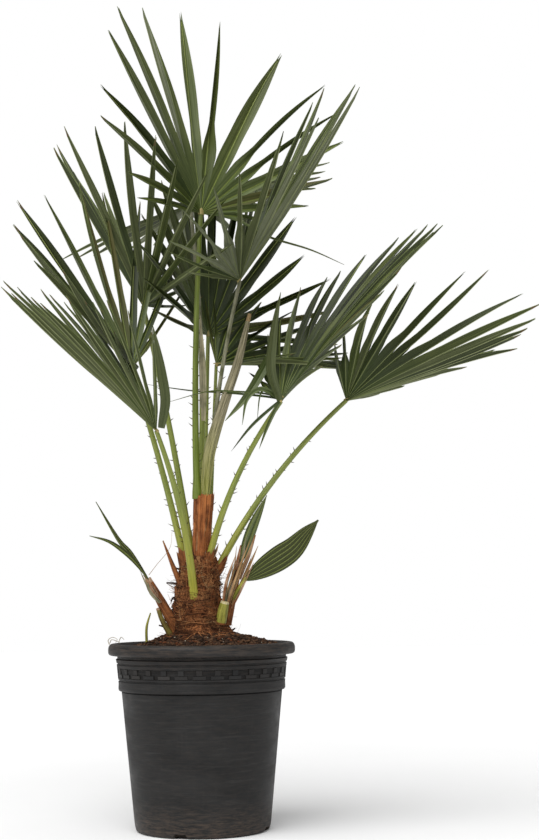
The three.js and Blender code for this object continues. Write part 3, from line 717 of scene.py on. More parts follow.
class Fan:
    """Surface of one fan: directions, places and folds at an angle from its middle rib."""

    def __init__(self, frond):
        self.frond = frond
        self.origin = Vector(frond["point"])
        self.spread = math.radians(frond["spread"])
        self.pitch = 2 * self.spread / (frond["leaflets"] - 1)
        heading, rise, roll = (math.radians(frond[key]) for key in ("heading", "rise", "roll"))
        outward = Vector((math.cos(heading), math.sin(heading), 0))
        level = UP * math.cos(rise) - outward * math.sin(rise)
        self.rib = outward * math.cos(rise) + UP * math.sin(rise)
        self.side = self.rib.cross(level) * math.cos(roll) + level * math.sin(roll)
        self.face = self.side.cross(self.rib)

    def direction(self, angle):
        cup = self.frond["cup"] * abs(math.sin(angle)) ** 1.5
        return (self.rib * math.cos(angle) + self.side * math.sin(angle) + self.face * cup).normalized()

    def place(self, angle, radius):
        sag = self.frond["droop"] * radius * radius / self.frond["reach"]
        return self.origin + self.direction(angle) * radius - UP * sag

    def across(self, angle):
        return (self.direction(angle + 0.01) - self.direction(angle - 0.01)).normalized()

    def normal(self, angle):
        return self.across(angle).cross(self.direction(angle)).normalized()

    def joined(self, angle):
        share = min(max(angle / self.spread, -1), 1)
        return self.frond["reach"] * self.frond["joined"] * (1 - LEAFLET["side_split"] * share * share)

    def half_width(self, radius):
        return radius * math.tan(self.pitch / 2) / math.cos(LEAFLET["open_fold"])

    def margin(self, angle, radius):
        """Ridge between two leaflets where they are still joined."""
        raised = self.half_width(radius) * math.sin(LEAFLET["open_fold"]) / 2
        return self.place(angle, radius) + self.normal(angle) * raised

    def leaflets(self):
        """Angle, length, lift of the tip and fold of each leaflet, with the ridges on its two sides."""
        draws = seeded(self.frond["seed"])
        found = []
        for k in range(self.frond["leaflets"]):
            variation = 1 + LEAFLET["length_variation"] * (2 * next(draws) - 1)
            lift = LEAFLET["lift_variation"] * (2 * next(draws) - 1)
            offset = LEAFLET["angle_variation"] * (2 * next(draws) - 1)
            fold = blend(LEAFLET["open_fold"], LEAFLET["shut_fold"], next(draws) ** LEAFLET["fold_power"])
            fold = min(fold + math.radians(self.frond["shut"]), MAX_FOLD)
            angle = (k + offset) * self.pitch - self.spread
            aside = angle / self.spread
            share = 1 - self.frond["short"] * aside ** 2 + self.frond["skew"] * aside
            length = self.frond["reach"] * share * variation
            found.append(dict(angle=angle, length=length, lift=lift, fold=fold))
        ridges = [found[0]["angle"] - self.pitch / 2]
        ridges += [(a["angle"] + b["angle"]) / 2 for a, b in zip(found, found[1:])]
        ridges.append(found[-1]["angle"] + self.pitch / 2)
        for k, leaflet in enumerate(found):
            leaflet["start"], leaflet["end"] = ridges[k], ridges[k + 1]
        return found


def leaflet_stations(fan, leaflet, twist, sway):
    """Left edge, fold, right edge, normal and radius of a leaflet, from the fan's point to its split tip."""
    angle, start, end = leaflet["angle"], leaflet["start"], leaflet["end"]
    split = fan.joined(angle)
    normal = fan.normal(angle)
    across = fan.across(angle)
    stations = []
    for k in range(LEAFLET["joined_steps"]):
        share = blend(LEAFLET["first"], 1, k / LEAFLET["joined_steps"])
        sunk = fan.half_width(split * share) * math.sin(LEAFLET["open_fold"]) / 2
        stations.append((
            fan.margin(start, fan.joined(start) * share), fan.place(angle, split * share) - normal * sunk,
            fan.margin(end, fan.joined(end) * share), normal, split * share,
        ))
    width = fan.half_width(split)
    for free in even_shares(LEAFLET["free_steps"]):
        share = LEAFLET["tip_split"] * free
        swollen = 1 + LEAFLET["swell"] * share * (1 - share)
        eased = smooth(share / LEAFLET["eased"])
        slim = blend(1, fan.frond["slim"], eased)
        scale = slim * swollen * (1 - LEAFLET["taper"] * share ** LEAFLET["blunt"]) * width
        fold = blend(LEAFLET["open_fold"], leaflet["fold"], eased)
        turn = twist * smooth(share)
        turned_across = across * math.cos(turn) + normal * math.sin(turn)
        turned_normal = normal * math.cos(turn) - across * math.sin(turn)
        wide, deep = scale * math.cos(fold), scale * math.sin(fold) / 2
        radius = blend(split, leaflet["length"], share)
        middle = fan.place(angle, radius)
        middle = middle + normal * (leaflet["lift"] * share ** 2) + across * (sway * share ** 2.5)
        valley = middle - turned_normal * deep
        raised = turned_normal * (2 * deep)
        stations.append((
            valley - turned_across * (wide * (angle - start) * 2 / fan.pitch) + raised, valley,
            valley + turned_across * (wide * (end - angle) * 2 / fan.pitch) + raised, turned_normal, radius,
        ))
    return stations


def leaflet_looks(age, draws):
    """Upper and under look of a leaflet, which are fresher and paler in a young fan."""
    if draws.random() < AGEING["worn"] * age:
        upper = "leaf_worn"
    else:
        upper = draws.choice(GROWN if draws.random() < AGEING["grown"] * age else YOUNG)
    paler = age < AGEING["pale_below"]
    return upper, draws.choice(("under_pale", "under_grey") if paler else ("under_grey", "under_green"))


def dry_tip(age, draws):
    """Share of a leaflet's length that is dry at its tip, if it is dry at all."""
    share, added_share = AGEING["dry_share"]
    longest, added_length = AGEING["longest_dry"]
    if draws.random() < share + added_share * age:
        return draws.uniform(AGEING["shortest_dry"], longest + added_length * age)
    return 0


def add_leaflet(shape, fan, leaflet, draws):
    """One leaflet as a closed thin sheet, folded along its rib and split in two at its tip."""
    age, length = fan.frond["age"], leaflet["length"]
    upper, under = leaflet_looks(age, draws)
    dry = dry_tip(age, draws)
    twist, sway = draws.gauss(0, LEAFLET["twist"]), draws.gauss(0, LEAFLET["sway"])
    stations = leaflet_stations(fan, leaflet, twist, sway)
    if draws.random() < fan.frond["dark"]:
        upper, under = "leaf_dark", "under_dark"
    sheet = Sheet()
    rows = []
    for left, valley, right, normal, radius in stations:
        row = []
        for column in COLUMNS:
            edge = left if column < 0 else right
            reach = (edge - valley).length
            share = abs(column)
            if share == RIB_EDGE:
                share = min(LEAFLET["rib"] / max(reach, 1e-6), 0.3)
            bulge = LEAFLET["bulge"] * reach * math.sin(math.pi * share)
            flat = (math.copysign(share * reach, column), radius)
            depth = LEAFLET["rib_depth"] if abs(column) <= RIB_EDGE else 0
            row.append(sheet.add(valley.lerp(edge, share) + normal * bulge, normal, flat, depth))
        rows.append(row)

    def looks(row, column):
        if stations[row][-1] > length * (1 - dry):
            return "dry_tip", "dry_tip"
        return ("rib", "rib_under") if column in (MIDDLE - 1, MIDDLE) else (upper, under)

    sheet.grid(rows, looks)
    left, valley, right, normal, radius = stations[-1]
    ahead = (fan.place(leaflet["angle"], length) - fan.place(leaflet["angle"], radius)).length
    along = (valley - stations[-2][1]).normalized()
    for side, edge in ((0, left), (MIDDLE, right)):
        beyond = along * ahead * draws.uniform(*LEAFLET["tip_length"])
        point = valley.lerp(edge, draws.uniform(*LEAFLET["tip_aside"])) + beyond
        tip = sheet.add(point, normal, (0, length))
        for column in range(side, side + MIDDLE):
            look = "dry_tip" if dry else upper
            sheet.face((rows[-1][column], rows[-1][column + 1], tip), look, look if dry else under)
    sheet.close(shape, LEAFLET["thickness"], "leaf_edge")


def make_fans():
    for name, frond in FRONDS.items():
        shape = Shape()
        fan = Fan(frond)
        draws = random.Random(frond["seed"])
        for leaflet in fan.leaflets():
            add_leaflet(shape, fan, leaflet, draws)
        make_piece(f"fan_{name}", shape, [f"blade_{name}"], crease=28)


def stalk_line(frond):
    foot, point = Vector(frond["foot"]), Vector(frond["point"])
    bend = (foot + point) / 2 + 2 * Vector(frond["bow"])
    return [foot * (1 - t) ** 2 + bend * (2 * t * (1 - t)) + point * t ** 2
            for t in even_shares(STALK["steps"])]


def make_stalks():
    """Channelled leaf stalks, the spines along their edges, the torn sheaths round their feet and
    the small crest where each fan starts."""
    spines, crests, clasps = Shape(), Shape(), Shape()
    for name, frond in FRONDS.items():
        low, high = frond["stalk"]
        fan = Fan(frond)

        def radius_at(share, angle):
            flare = 1 + STALK["base_flare"] * smooth(1 - share / STALK["base_share"])
            channel = 1 - STALK["channel"] * max(math.cos(angle), 0) ** 3
            return blend(low, high, share) * flare * channel

        shape = Shape()
        line = stalk_line(frond)
        rings = tube_rings(line, radius_at, STALK["sides"], fan.face)
        look, beginning = STALK_LOOKS.get(name, ("stalk", 0))
        skin(shape, rings, lambda share: look if share >= beginning else "stalk")
        make_piece(f"petiole_{name}", shape, [f"stalk_{name}"])
        add_spines(spines, line, rings, random.Random(frond["seed"] + 1))
        add_crest(crests, fan)
        if name in CLASPS:
            add_clasp(clasps, line, low, CLASPS[name], frond["seed"] * 0.1)
    make_piece("petiole_spines", spines)
    make_piece("petiole_clasps", clasps)
    make_piece("leaf_crests", crests)


def add_spines(shape, line, rings, draws):
    """Spines that point forward, on both edges of a leaf stalk."""
    length = sum((b - a).length for a, b in zip(line, line[1:]))
    count = int(length * (SPINE["last"] - SPINE["first"]) / SPINE["pitch"])
    for k in range(count):
        spot = k + draws.uniform(-SPINE["uneven"], SPINE["uneven"])
        share = blend(SPINE["first"], SPINE["last"], spot / count)
        number = min(max(int(share * STALK["steps"]), 1), STALK["steps"] - 1)
        along = direction_at(line, number)
        edge = along.cross(DEEP).normalized() * draws.choice((-1, 1))
        edge.rotate(Matrix.Rotation(draws.uniform(-1, 1) * SPINE["wander"], 3, along))
        radius = max((point - line[number]).dot(edge) for point in rings[number])
        aim = (edge + along * SPINE["forward"] * draws.uniform(*SPINE["aims"])).normalized()
        long = SPINE["length"] * draws.uniform(*SPINE["lengths"])
        long *= blend(SPINE["lower"], SPINE["upper"], share)
        start = line[number] + edge * (radius - SPINE["sunk"])
        curve = [start + aim * long * t + along * long * SPINE["hook"] * t * t for t in (0, 0.35, 0.7, 1)]
        thread(shape, curve, SPINE, SPINE["radius"],
               lambda t: "spine" if t < SPINE["dark_from"] else "spine_tip")


def add_clasp(shape, line, radius, reach, seed):
    """Dry brown sheath, torn at its top, round the foot of a leaf stalk. reach is a share of the stalk."""
    sheet = Sheet()
    last = len(line) - 1
    rows = []
    for v in even_shares(CLASP["steps"]):
        row = []
        for column in range(CLASP["columns"]):
            aside = column / (CLASP["columns"] - 1)
            turn = math.radians(blend(-CLASP["half_turn"], CLASP["half_turn"], aside))
            torn = CLASP["even"] + CLASP["torn"] * noise.noise(Vector((column * 0.7, seed, 0.5)))
            at = min(reach * v * torn, 0.9) * last
            k = int(at)
            centre = line[k].lerp(line[k + 1], at - k)
            along = (line[k + 1] - line[k]).normalized()
            outward = Vector((centre.x, min(centre.y, -0.004), 0))
            outward = (outward - along * outward.dot(along)).normalized()
            out = outward * math.cos(turn) + along.cross(outward) * math.sin(turn)
            rough = CLASP["rough"] * noise.noise(Vector((column, v * 5, seed)))
            away = radius * (CLASP["loose"] + CLASP["flare"] * v * v) + rough
            row.append(sheet.add(centre + out * away, out, (turn * radius, v * CLASP["mapped"])))
        rows.append(row)
    sheet.grid(rows, ("scale", "papery"))
    sheet.close(shape, CLASP["thickness"], "papery")


def add_crest(shape, fan):
    """Small pointed flap on the upper side where the leaflets meet."""
    sheet = Sheet()
    rows = []
    for share in even_shares(CREST["steps"]):
        half = CREST["half_width"] * math.sqrt(max(1 - share ** 2, 0.02))
        middle = fan.origin + fan.rib * (CREST["length"] * share - CREST["sunk"]) + fan.face * CREST["depth"]
        rows.append([
            sheet.add(middle + fan.side * half * side - fan.face * (CREST["curl"] * side * side), fan.face,
                      (half * side, share * CREST["length"]))
            for side in (-1, -0.5, 0, 0.5, 1)
        ])
    sheet.grid(rows, ("hastula", "hastula"))
    sheet.close(shape, CREST["thickness"], "hastula")


# Trunk

def trunk_middle(t):
    bend = (TRUNK["foot"] + TRUNK["top"]) / 2
    return Vector((4 * t * (1 - t) * TRUNK["lean"], 0,
                   (1 - t) ** 2 * TRUNK["foot"] + 2 * t * (1 - t) * bend + t ** 2 * TRUNK["top"]))


def trunk_radius(t):
    stations = TRUNK["stations"]
    for (low, low_radius), (high, high_radius) in zip(stations, stations[1:]):
        if t <= high:
            return blend(low_radius, high_radius, (t - low) / (high - low))
    return stations[-1][1]


def trunk_place(t, angle, lift=0.0):
    """Point on the trunk's surface, or a lift outside it."""
    scales = 1 + TRUNK["scale_depth"] * math.cos(3 * angle + 9 * t) * math.sin(11 * t + angle)
    return trunk_middle(t) + outward_at(angle) * (trunk_radius(t) * scales + lift)


def make_trunk():
    shape = Shape()
    rings = []
    for t in even_shares(TRUNK["steps"]):
        ring = []
        for angle in round_angles(TRUNK["sides"]):
            place = trunk_place(t, angle)
            rough = noise.fractal(Vector((place.x * 160, place.y * 160, place.z * 60)), 0.8, 2.2, 4)
            ring.append(trunk_place(t, angle, TRUNK["rough"] * rough - TRUNK["sunk"]))
        rings.append(ring)
    skin(shape, rings, "bark")
    for k in range(STUBS["count"]):
        add_stub(shape, k)
    make_piece("palm_trunk", shape, ["trunk"])
    make_scales()
    make_fibres()


def add_stub(shape, number):
    t = blend(STUBS["first"], STUBS["last"], number / STUBS["count"])
    outward = outward_at(STUBS["turn"] * number + STUBS["start"])
    foot = trunk_middle(t) + outward * (trunk_radius(t) - STUBS["sunk"])
    tip = foot + outward * STUBS["out"] + UP * STUBS["rise"]
    line = [foot.lerp(tip, share) + UP * STUBS["bow"] * math.sin(share * math.pi)
            for share in even_shares(STUBS["steps"])]

    def radius_at(share, angle):
        return along_values(STUBS["radii"], share) * (1 + STUBS["ridges"] * math.cos(STUBS["fins"] * angle))

    tube(shape, line, radius_at, STUBS["sides"], "scale")


def make_scales():
    """Torn edges of old leaf bases, one above the other round the trunk."""
    shape = Shape()
    draws = random.Random(SCALES["seed"])
    cells = SCALES["cells"]
    for k in range(SCALES["count"]):
        start = SCALES["first"] + SCALES["span"] * k / SCALES["count"]
        turn = STUBS["turn"] * k
        half = draws.uniform(*SCALES["half_turn"])
        rise = draws.uniform(*SCALES["rise"])
        flare = draws.uniform(*SCALES["flare"])
        look = "scale_pale" if draws.random() < SCALES["pale"] else "scale"
        sheet = Sheet()
        rows = []
        for v in even_shares(cells):
            corners = []
            for share in even_shares(cells):
                u = 2 * share - 1
                ragged = SCALES["ragged"] * noise.noise(Vector((u * 4 + k, v, k * 0.37)))
                t = min(start + rise * v * (1 - SCALES["rounded"] * u * u + ragged * v), 1)
                angle = turn + u * half * (1 - SCALES["narrowed"] * v ** 2)
                rough = SCALES["rough"] * noise.noise(Vector((u * 3, v * 3, k)))
                place = trunk_place(t, angle, SCALES["lift"] + flare * v ** 2 + rough)
                corners.append(sheet.add(place, outward_at(angle),
                                         (u * half * SCALES["mapped"], v * SCALES["mapped"])))
            rows.append(corners)
        sheet.grid(rows, (look, "scale"))
        sheet.close(shape, SCALES["thickness"], look)
    make_piece("trunk_scales", shape)


def make_fibres():
    """Matted fibre wound about the trunk, with loose ends and dark hooks that stand out of it."""
    shape = Shape()
    draws = random.Random(WOUND["seed"])
    for _ in range(WOUND["count"]):
        add_wound_fibre(shape, draws)
    for _ in range(LOOSE["count"]):
        add_loose_fibre(shape, draws)
    for line in HOOKS:
        thread(shape, spline(line, HOOK["steps"]), HOOK, HOOK["radius"], "hook")
    for _ in range(SKIRT["count"]):
        add_skirt_fibre(shape, draws)
    make_piece("trunk_fibres", shape)


def add_wound_fibre(shape, draws):
    t = WOUND["highest"] * draws.random() ** WOUND["crowding"]
    angle = draws.uniform(0, 2 * math.pi)
    reaches, rises = WOUND["level"] if draws.random() < WOUND["level_share"] else WOUND["slanting"]
    around = draws.choice((-1, 1)) * draws.uniform(*reaches)
    rise = draws.uniform(*rises)
    lift = draws.uniform(*WOUND["lift"])
    flare = draws.uniform(*WOUND["flare"]) if draws.random() < WOUND["flare_share"] else 0
    phase = draws.uniform(0, 6)
    line = []
    for v in even_shares(WOUND["steps"]):
        away = lift + flare * v ** 2 + WOUND["wave"] * math.sin(phase + 7 * v)
        height = t + rise * v + WOUND["height_wave"] * math.sin(phase + 5 * v)
        line.append(trunk_place(min(max(height, 0), 1), angle + around * v, away))
    # Low on the trunk more of the fibre is dark: painted shade
    shares = WOUND["upper_shares"] if t > WOUND["upper"] else WOUND["lower_shares_painted_shade"]
    look = draws.choices(FIBRE_LOOKS, shares)[0]
    thread(shape, line, WOUND, draws.uniform(*WOUND["radius"]), look)


def add_loose_fibre(shape, draws):
    t = draws.uniform(0.0, 1.0)
    angle = draws.uniform(0, 2 * math.pi)
    outward = outward_at(angle)
    start = trunk_place(t, angle, -LOOSE["sunk"])
    thick = draws.random() < LOOSE["thick_share"]
    long = draws.uniform(*LOOSE["thick_length" if thick else "length"])
    hook = draws.uniform(*LOOSE["hook"])
    sway = Vector((-outward.y, outward.x, 0)) * draws.uniform(-LOOSE["sway"], LOOSE["sway"])
    line = [start + outward * long * v + (UP * hook + sway) * long * v * v
            for v in even_shares(LOOSE["steps"])]
    radius = draws.uniform(*LOOSE["thick_radius" if thick else "radius"])
    look = "fibre_dark" if thick else draws.choice(FIBRE_LOOKS)
    thread(shape, line, LOOSE, radius, look)


def add_skirt_fibre(shape, draws):
    angle = draws.uniform(0, 2 * math.pi)
    start = trunk_place(draws.uniform(*SKIRT["start"]), angle)
    turn = angle + draws.uniform(-SKIRT["turn"], SKIRT["turn"])
    reach = trunk_radius(0) + draws.uniform(*SKIRT["reach"])
    x, y = reach * math.cos(turn), reach * math.sin(turn)
    end = Vector((x, y, soil_height(x, y) + SKIRT["lift"]))
    bulge = Vector((x, y, 0)).normalized() * SKIRT["bulge"]
    line = [start.lerp(end, v) + bulge * math.sin(math.pi * v) for v in even_shares(SKIRT["steps"])]
    radius = draws.uniform(*SKIRT["radius"])
    look = draws.choice(("fibre_rust", "fibre_dark", "fibre_dark"))
    thread(shape, line, SKIRT, radius, look)


def sheath_radius(share):
    return blend(SHEATH["foot_radius"], SHEATH["top_radius"], share)


def sheath_place(share, radius, angle, higher=0.0):
    """Point round the middle line of the sheath."""
    return Vector((SHEATH["lean"] * share + radius * math.cos(angle), radius * math.sin(angle),
                   blend(SHEATH["foot"], SHEATH["top"], share) + higher))


def make_sheath():
    """Papery sheath cut off ragged at its top, with an open mouth."""
    shape = Shape()
    rings = []
    for t in even_shares(SHEATH["steps"]):
        ring = []
        for angle in round_angles(SHEATH["sides"]):
            torn = SHEATH["torn"] * noise.noise(Vector((math.cos(angle) * 4, math.sin(angle) * 4, 2)))
            folds = SHEATH["folds"] * math.sin(9 * angle + 3 * t) * t
            wrinkles = SHEATH["wrinkles"] * math.sin(23 * angle)
            ring.append(sheath_place(t, sheath_radius(t) * (1 + folds + wrinkles), angle, torn * t))
        rings.append(ring)
    rim = rings[-1]
    middle = sum(rim, Vector()) / SHEATH["sides"]
    for shrink, down in SHEATH["mouth"]:
        rings.append([middle + (point - middle) * shrink - UP * down for point in rim])
    skin(shape, rings, "sheath")
    draws = random.Random(THREADS["seed"])
    for _ in range(THREADS["count"]):
        angle = draws.uniform(0, 2 * math.pi)
        low = draws.uniform(*THREADS["low"])
        high = low + draws.uniform(*THREADS["length"])
        line = []
        for share in even_shares(THREADS["steps"]):
            v = blend(low, high, share)
            radius = sheath_radius(v) * THREADS["outside"] + THREADS["beyond"] * max(v - 1, 0)
            line.append(sheath_place(v, radius, angle + THREADS["wind"] * (v - low)))
        look = draws.choice(("fibre_rust", "fibre_rust", "scale", "fibre_straw", "sheath"))
        thread(shape, line, THREADS, THREADS["radius"], look)
    make_piece("leaf_sheath", shape, ["sheath"])


def make_spear():
    """Unopened leaf: pleats pressed together under grey felt, broken at the tip."""
    shape = Shape()

    def radius_at(share, angle):
        pleats = SPEAR["pleat"] * math.cos(SPEAR["pleats"] * angle)
        creases = SPEAR["crease"] * math.cos(SPEAR["creases"] * angle + 9 * share)
        return along_values(SPEAR["radii"], share) * (1 - SPEAR["pleat"] + pleats + creases)

    tube(shape, spline(SPEAR["line"], SPEAR["steps"]), radius_at, SPEAR["sides"],
         lambda share: "spear_tip" if share > SPEAR["tip"] else "spear")
    make_piece("spear_leaf", shape, ["spear"])


# Pot and soil

def in_notch(angle):
    for k in range(NOTCH["count"]):
        centre = NOTCH["first"] + 2 * math.pi * k / NOTCH["count"]
        away = (angle - centre + math.pi) % (2 * math.pi) - math.pi
        if abs(away) * POT["base_radius"] < NOTCH["width"] / 2:
            return True
    return False


def band_radius(height):
    reach = POT["height"] - POT["lip_height"] - POT["waist_height"] - POT["band_foot"]
    share = (height - POT["waist_height"] - POT["band_foot"]) / reach
    return blend(POT["band_radius"], POT["band_top_radius"], share)


def groove_profile(height):
    deep = BAND["groove"]
    return [(band_radius(height - deep), height - deep), (band_radius(height) - deep, height - deep / 2),
            (band_radius(height) - deep, height + deep / 2), (band_radius(height + deep), height + deep)]


def recess_profile():
    low, high = RELIEF["foot"][1], RELIEF["post"][2]
    return [(band_radius(low), low - RELIEF["edge"]), (band_radius(low) - RELIEF["depth"], low),
            (band_radius(high) - RELIEF["depth"], high), (band_radius(high), high + RELIEF["edge"])]


def lip_profile():
    """Rounded lower corner and rounded top of the lip, from below up."""
    foot = POT["height"] - POT["lip_height"]
    rim = POT["lip_radius"]
    turns = [math.radians(90 * k / LIP["steps"]) for k in range(LIP["steps"] + 1)]
    out, up = LIP["lower_corner"]
    lower = [(rim - out + out * math.sin(a), foot + up - up * math.cos(a)) for a in turns]
    out, up = LIP["corner"]
    upper = [(rim - out + out * math.cos(a), POT["height"] - up + up * math.sin(a)) for a in turns]
    return lower + upper


def make_pot():
    """Pot turned from its profile, with notches under its foot. The gap below the band and the floor of
    its recess have painted shade: a darker, duller plastic."""
    base, waist, waist_height = POT["base_radius"], POT["waist_radius"], POT["waist_height"]
    band_foot, band_top = POT["band_radius"], POT["band_top_radius"]
    lip_foot = POT["height"] - POT["lip_height"]
    wall = [(blend(base + 0.002, waist, share), blend(POT["wall_foot"], waist_height, share))
            for share in even_shares(POT["wall_steps"])]
    recess = recess_profile()
    # Radius and height of every ring, up the outside and down the inside
    outside = [
        (POT["centre"], 0), (0.03, 0), (base - NOTCH["depth"], 0), (base - 0.006, 0), (base - 0.002, 0.0008),
        (base, 0.0024), (base + 0.001, 0.006), *wall,
        (waist - BAND["gap"], waist_height + 0.0007), (waist - BAND["gap"], waist_height + 0.002),
        (band_foot, waist_height + 0.002), (band_foot + BAND["bead"], waist_height + 0.0035),
        (band_foot + BAND["bead"], waist_height + 0.006), (band_radius(BAND["plain"]), BAND["plain"]),
        *groove_profile(BAND["lower_groove"]), *recess, *groove_profile(BAND["upper_groove"]),
        (band_top, lip_foot - 0.005), (band_top - 0.002, lip_foot - 0.0038),
        (band_top - 0.002, lip_foot - 0.001),
        *lip_profile(),
    ]
    inside = [
        (POT["lip_radius"] - 0.0075, POT["height"]), (POT["lip_radius"] - 0.0095, POT["height"] - 0.002),
        (band_top - POT["wall"], POT["height"] - 0.006), (band_foot - POT["wall"], waist_height + 0.004),
        (waist - POT["wall"], waist_height), (base - POT["wall"], POT["floor"]),
        (POT["centre"], POT["floor"]),
    ]
    rings = []
    for radius, height in (*outside, *inside):
        ring = []
        for angle in round_angles(POT["sides"]):
            cut = in_notch(angle) and radius > base - NOTCH["depth"] and height < NOTCH["height"]
            ring.append(round_place(radius, angle, NOTCH["height"] if cut else height))
        rings.append(ring)
    shape = Shape()
    # Rings of the gap under the band and of the recess floor take the darker plastic: painted shade
    gap = outside.index(wall[-1])
    deep = (outside.index(recess[1]), gap, gap + 1)
    skin(shape, rings, lambda share: "pot_deep" if int(share * (len(rings) - 1)) in deep else "pot")
    make_piece("nursery_pot", shape, ["pot"], crease=40)
    make_blocks()


def add_block(shape, middle, width, low, high):
    """Block on the floor of the band's recess, a little smaller at its face, level with the band."""
    half = width / 2 / POT["band_radius"]
    corners = []
    for height, inward in ((low, 1), (high, -1)):
        for side in (-1, 0, 1):
            for out, inset in ((-RELIEF["sunk"] - RELIEF["depth"], 0), (0, RELIEF["inset"])):
                turn = middle + side * (half - inset / POT["band_radius"])
                level = height + inward * inset
                corners.append(shape.add(round_place(band_radius(level) + out, turn, level)))
    lower, upper = corners[:6], corners[6:]
    faces = []
    for j in (0, 2):
        faces += [
            (lower[j + 1], lower[j + 3], upper[j + 3], upper[j + 1]),
            (lower[j + 2], lower[j], upper[j], upper[j + 2]),
            (lower[j], lower[j + 2], lower[j + 3], lower[j + 1]),
            (upper[j + 1], upper[j + 3], upper[j + 2], upper[j]),
        ]
    faces += [(lower[0], lower[1], upper[1], upper[0]), (lower[5], lower[4], upper[4], upper[5])]
    for face in faces:
        shape.face(face, "pot_worn", ((middle * POT["band_radius"], low),) * 4)


def make_blocks():
    """Row of raised feet round the band, each with a post on it."""
    shape = Shape()
    for k in range(RELIEF["count"]):
        middle = 2 * math.pi * k / RELIEF["count"] + RELIEF["turn"]
        for part in ("foot", "post"):
            add_block(shape, middle, *RELIEF[part])
    make_piece("pot_blocks", shape)


def soil_height(x, y):
    """Height of the soil's surface, heaped towards the trunk and uneven."""
    radius = math.hypot(x, y)
    edge = POT["band_radius"] - POT["wall"]
    if radius > SOIL["shoulder_radius"]:
        share = (radius - SOIL["shoulder_radius"]) / (edge - SOIL["shoulder_radius"])
        height = blend(SOIL["shoulder_height"], SOIL["edge_height"], share)
    else:
        share = (radius - SOIL["top_radius"]) / (SOIL["shoulder_radius"] - SOIL["top_radius"])
        height = blend(SOIL["top_height"], SOIL["shoulder_height"], max(share, 0))
    scale = SOIL["lump_scale"]
    lumps = noise.fractal(Vector((x * scale, y * scale, 1.5)), 0.9, 2.1, 5)
    return height + SOIL["lumps"] * lumps + SOIL["lean"] * x


def make_soil():
    turns = round_angles(SOIL["sides"])
    edge = POT["band_radius"] - POT["wall"] - SOIL["gap"]
    foot = POT["floor"] + 0.0003
    below = [(POT["centre"], foot), (POT["base_radius"] - 0.004, foot),
             (POT["waist_radius"] - POT["wall"] - SOIL["gap"], POT["waist_height"]), (edge, 0.178)]
    above = [edge * (1 - share) + POT["centre"] for share in even_shares(SOIL["rings"])]
    rings = [[round_place(radius, a, height) for a in turns] for radius, height in below]
    for radius in above:
        places = [(radius * math.cos(a), radius * math.sin(a)) for a in turns]
        rings.append([Vector((x, y, soil_height(x, y))) for x, y in places])
    shape = Shape()
    skin(shape, rings, "soil")
    make_piece("potting_soil", shape, ["soil"])
    make_crumbs(edge)


def make_crumbs(edge):
    """Crumbs of soil, bark chips and pale grit that lie on the soil."""
    shape = Shape()
    draws = random.Random(CRUMBS["seed"])
    pattern = bmesh.new()
    bmesh.ops.create_icosphere(pattern, subdivisions=1, radius=1)
    corners = [v.co.copy() for v in pattern.verts]
    faces = [[v.index for v in face.verts] for face in pattern.faces]
    pattern.free()
    for k in range(CRUMBS["count"]):
        radius = edge * math.sqrt(draws.uniform(*CRUMBS["within"]))
        turn = draws.uniform(0, 2 * math.pi)
        x, y = radius * math.cos(turn), radius * math.sin(turn)
        look = draws.choices(CRUMBS["looks"], CRUMBS["shares"])[0]
        size = draws.uniform(*CRUMBS["size"]) * (CRUMBS["pale_size"] if look == "crumb_pale" else 1)
        stretch = Vector([draws.uniform(*ends) for ends in CRUMBS["stretch"]])
        turned = Matrix.Rotation(draws.uniform(0, CRUMBS["swing"]), 3, "Z")
        turned = turned @ Matrix.Rotation(draws.uniform(-CRUMBS["tilt"], CRUMBS["tilt"]), 3, "X")
        centre = Vector((x, y, soil_height(x, y) + size * CRUMBS["sunk"]))
        numbers = []
        for corner in corners:
            rough = 1 + CRUMBS["rough"] * noise.noise(corner * 2 + Vector((k, 0, 0)))
            scaled = Vector((corner.x * stretch.x, corner.y * stretch.y, corner.z * stretch.z)) * size * rough
            numbers.append(shape.add(centre + turned @ scaled))
        for face in faces:
            shape.face([numbers[c] for c in face], look, ((0, 0),) * 3)
    make_piece("soil_crumbs", shape)


# Suckers and small parts

def fluted(radii):
    """Radii along a limb, with shallow flutes that wind slowly round it."""
    def radius_at(share, angle):
        flute = LIMB["flute"] * math.cos(LIMB["flutes"] * angle + 3 * share)
        return along_values(radii, share) * (1 + flute)

    return radius_at


def runs(*parts):
    """Looks for the ten tenths of a limb, from runs of one look each."""
    return [look for look, count in parts for _ in range(count)]


LIMB = dict(steps=24, sides=18, looks=10, flutes=6, flute=0.06)
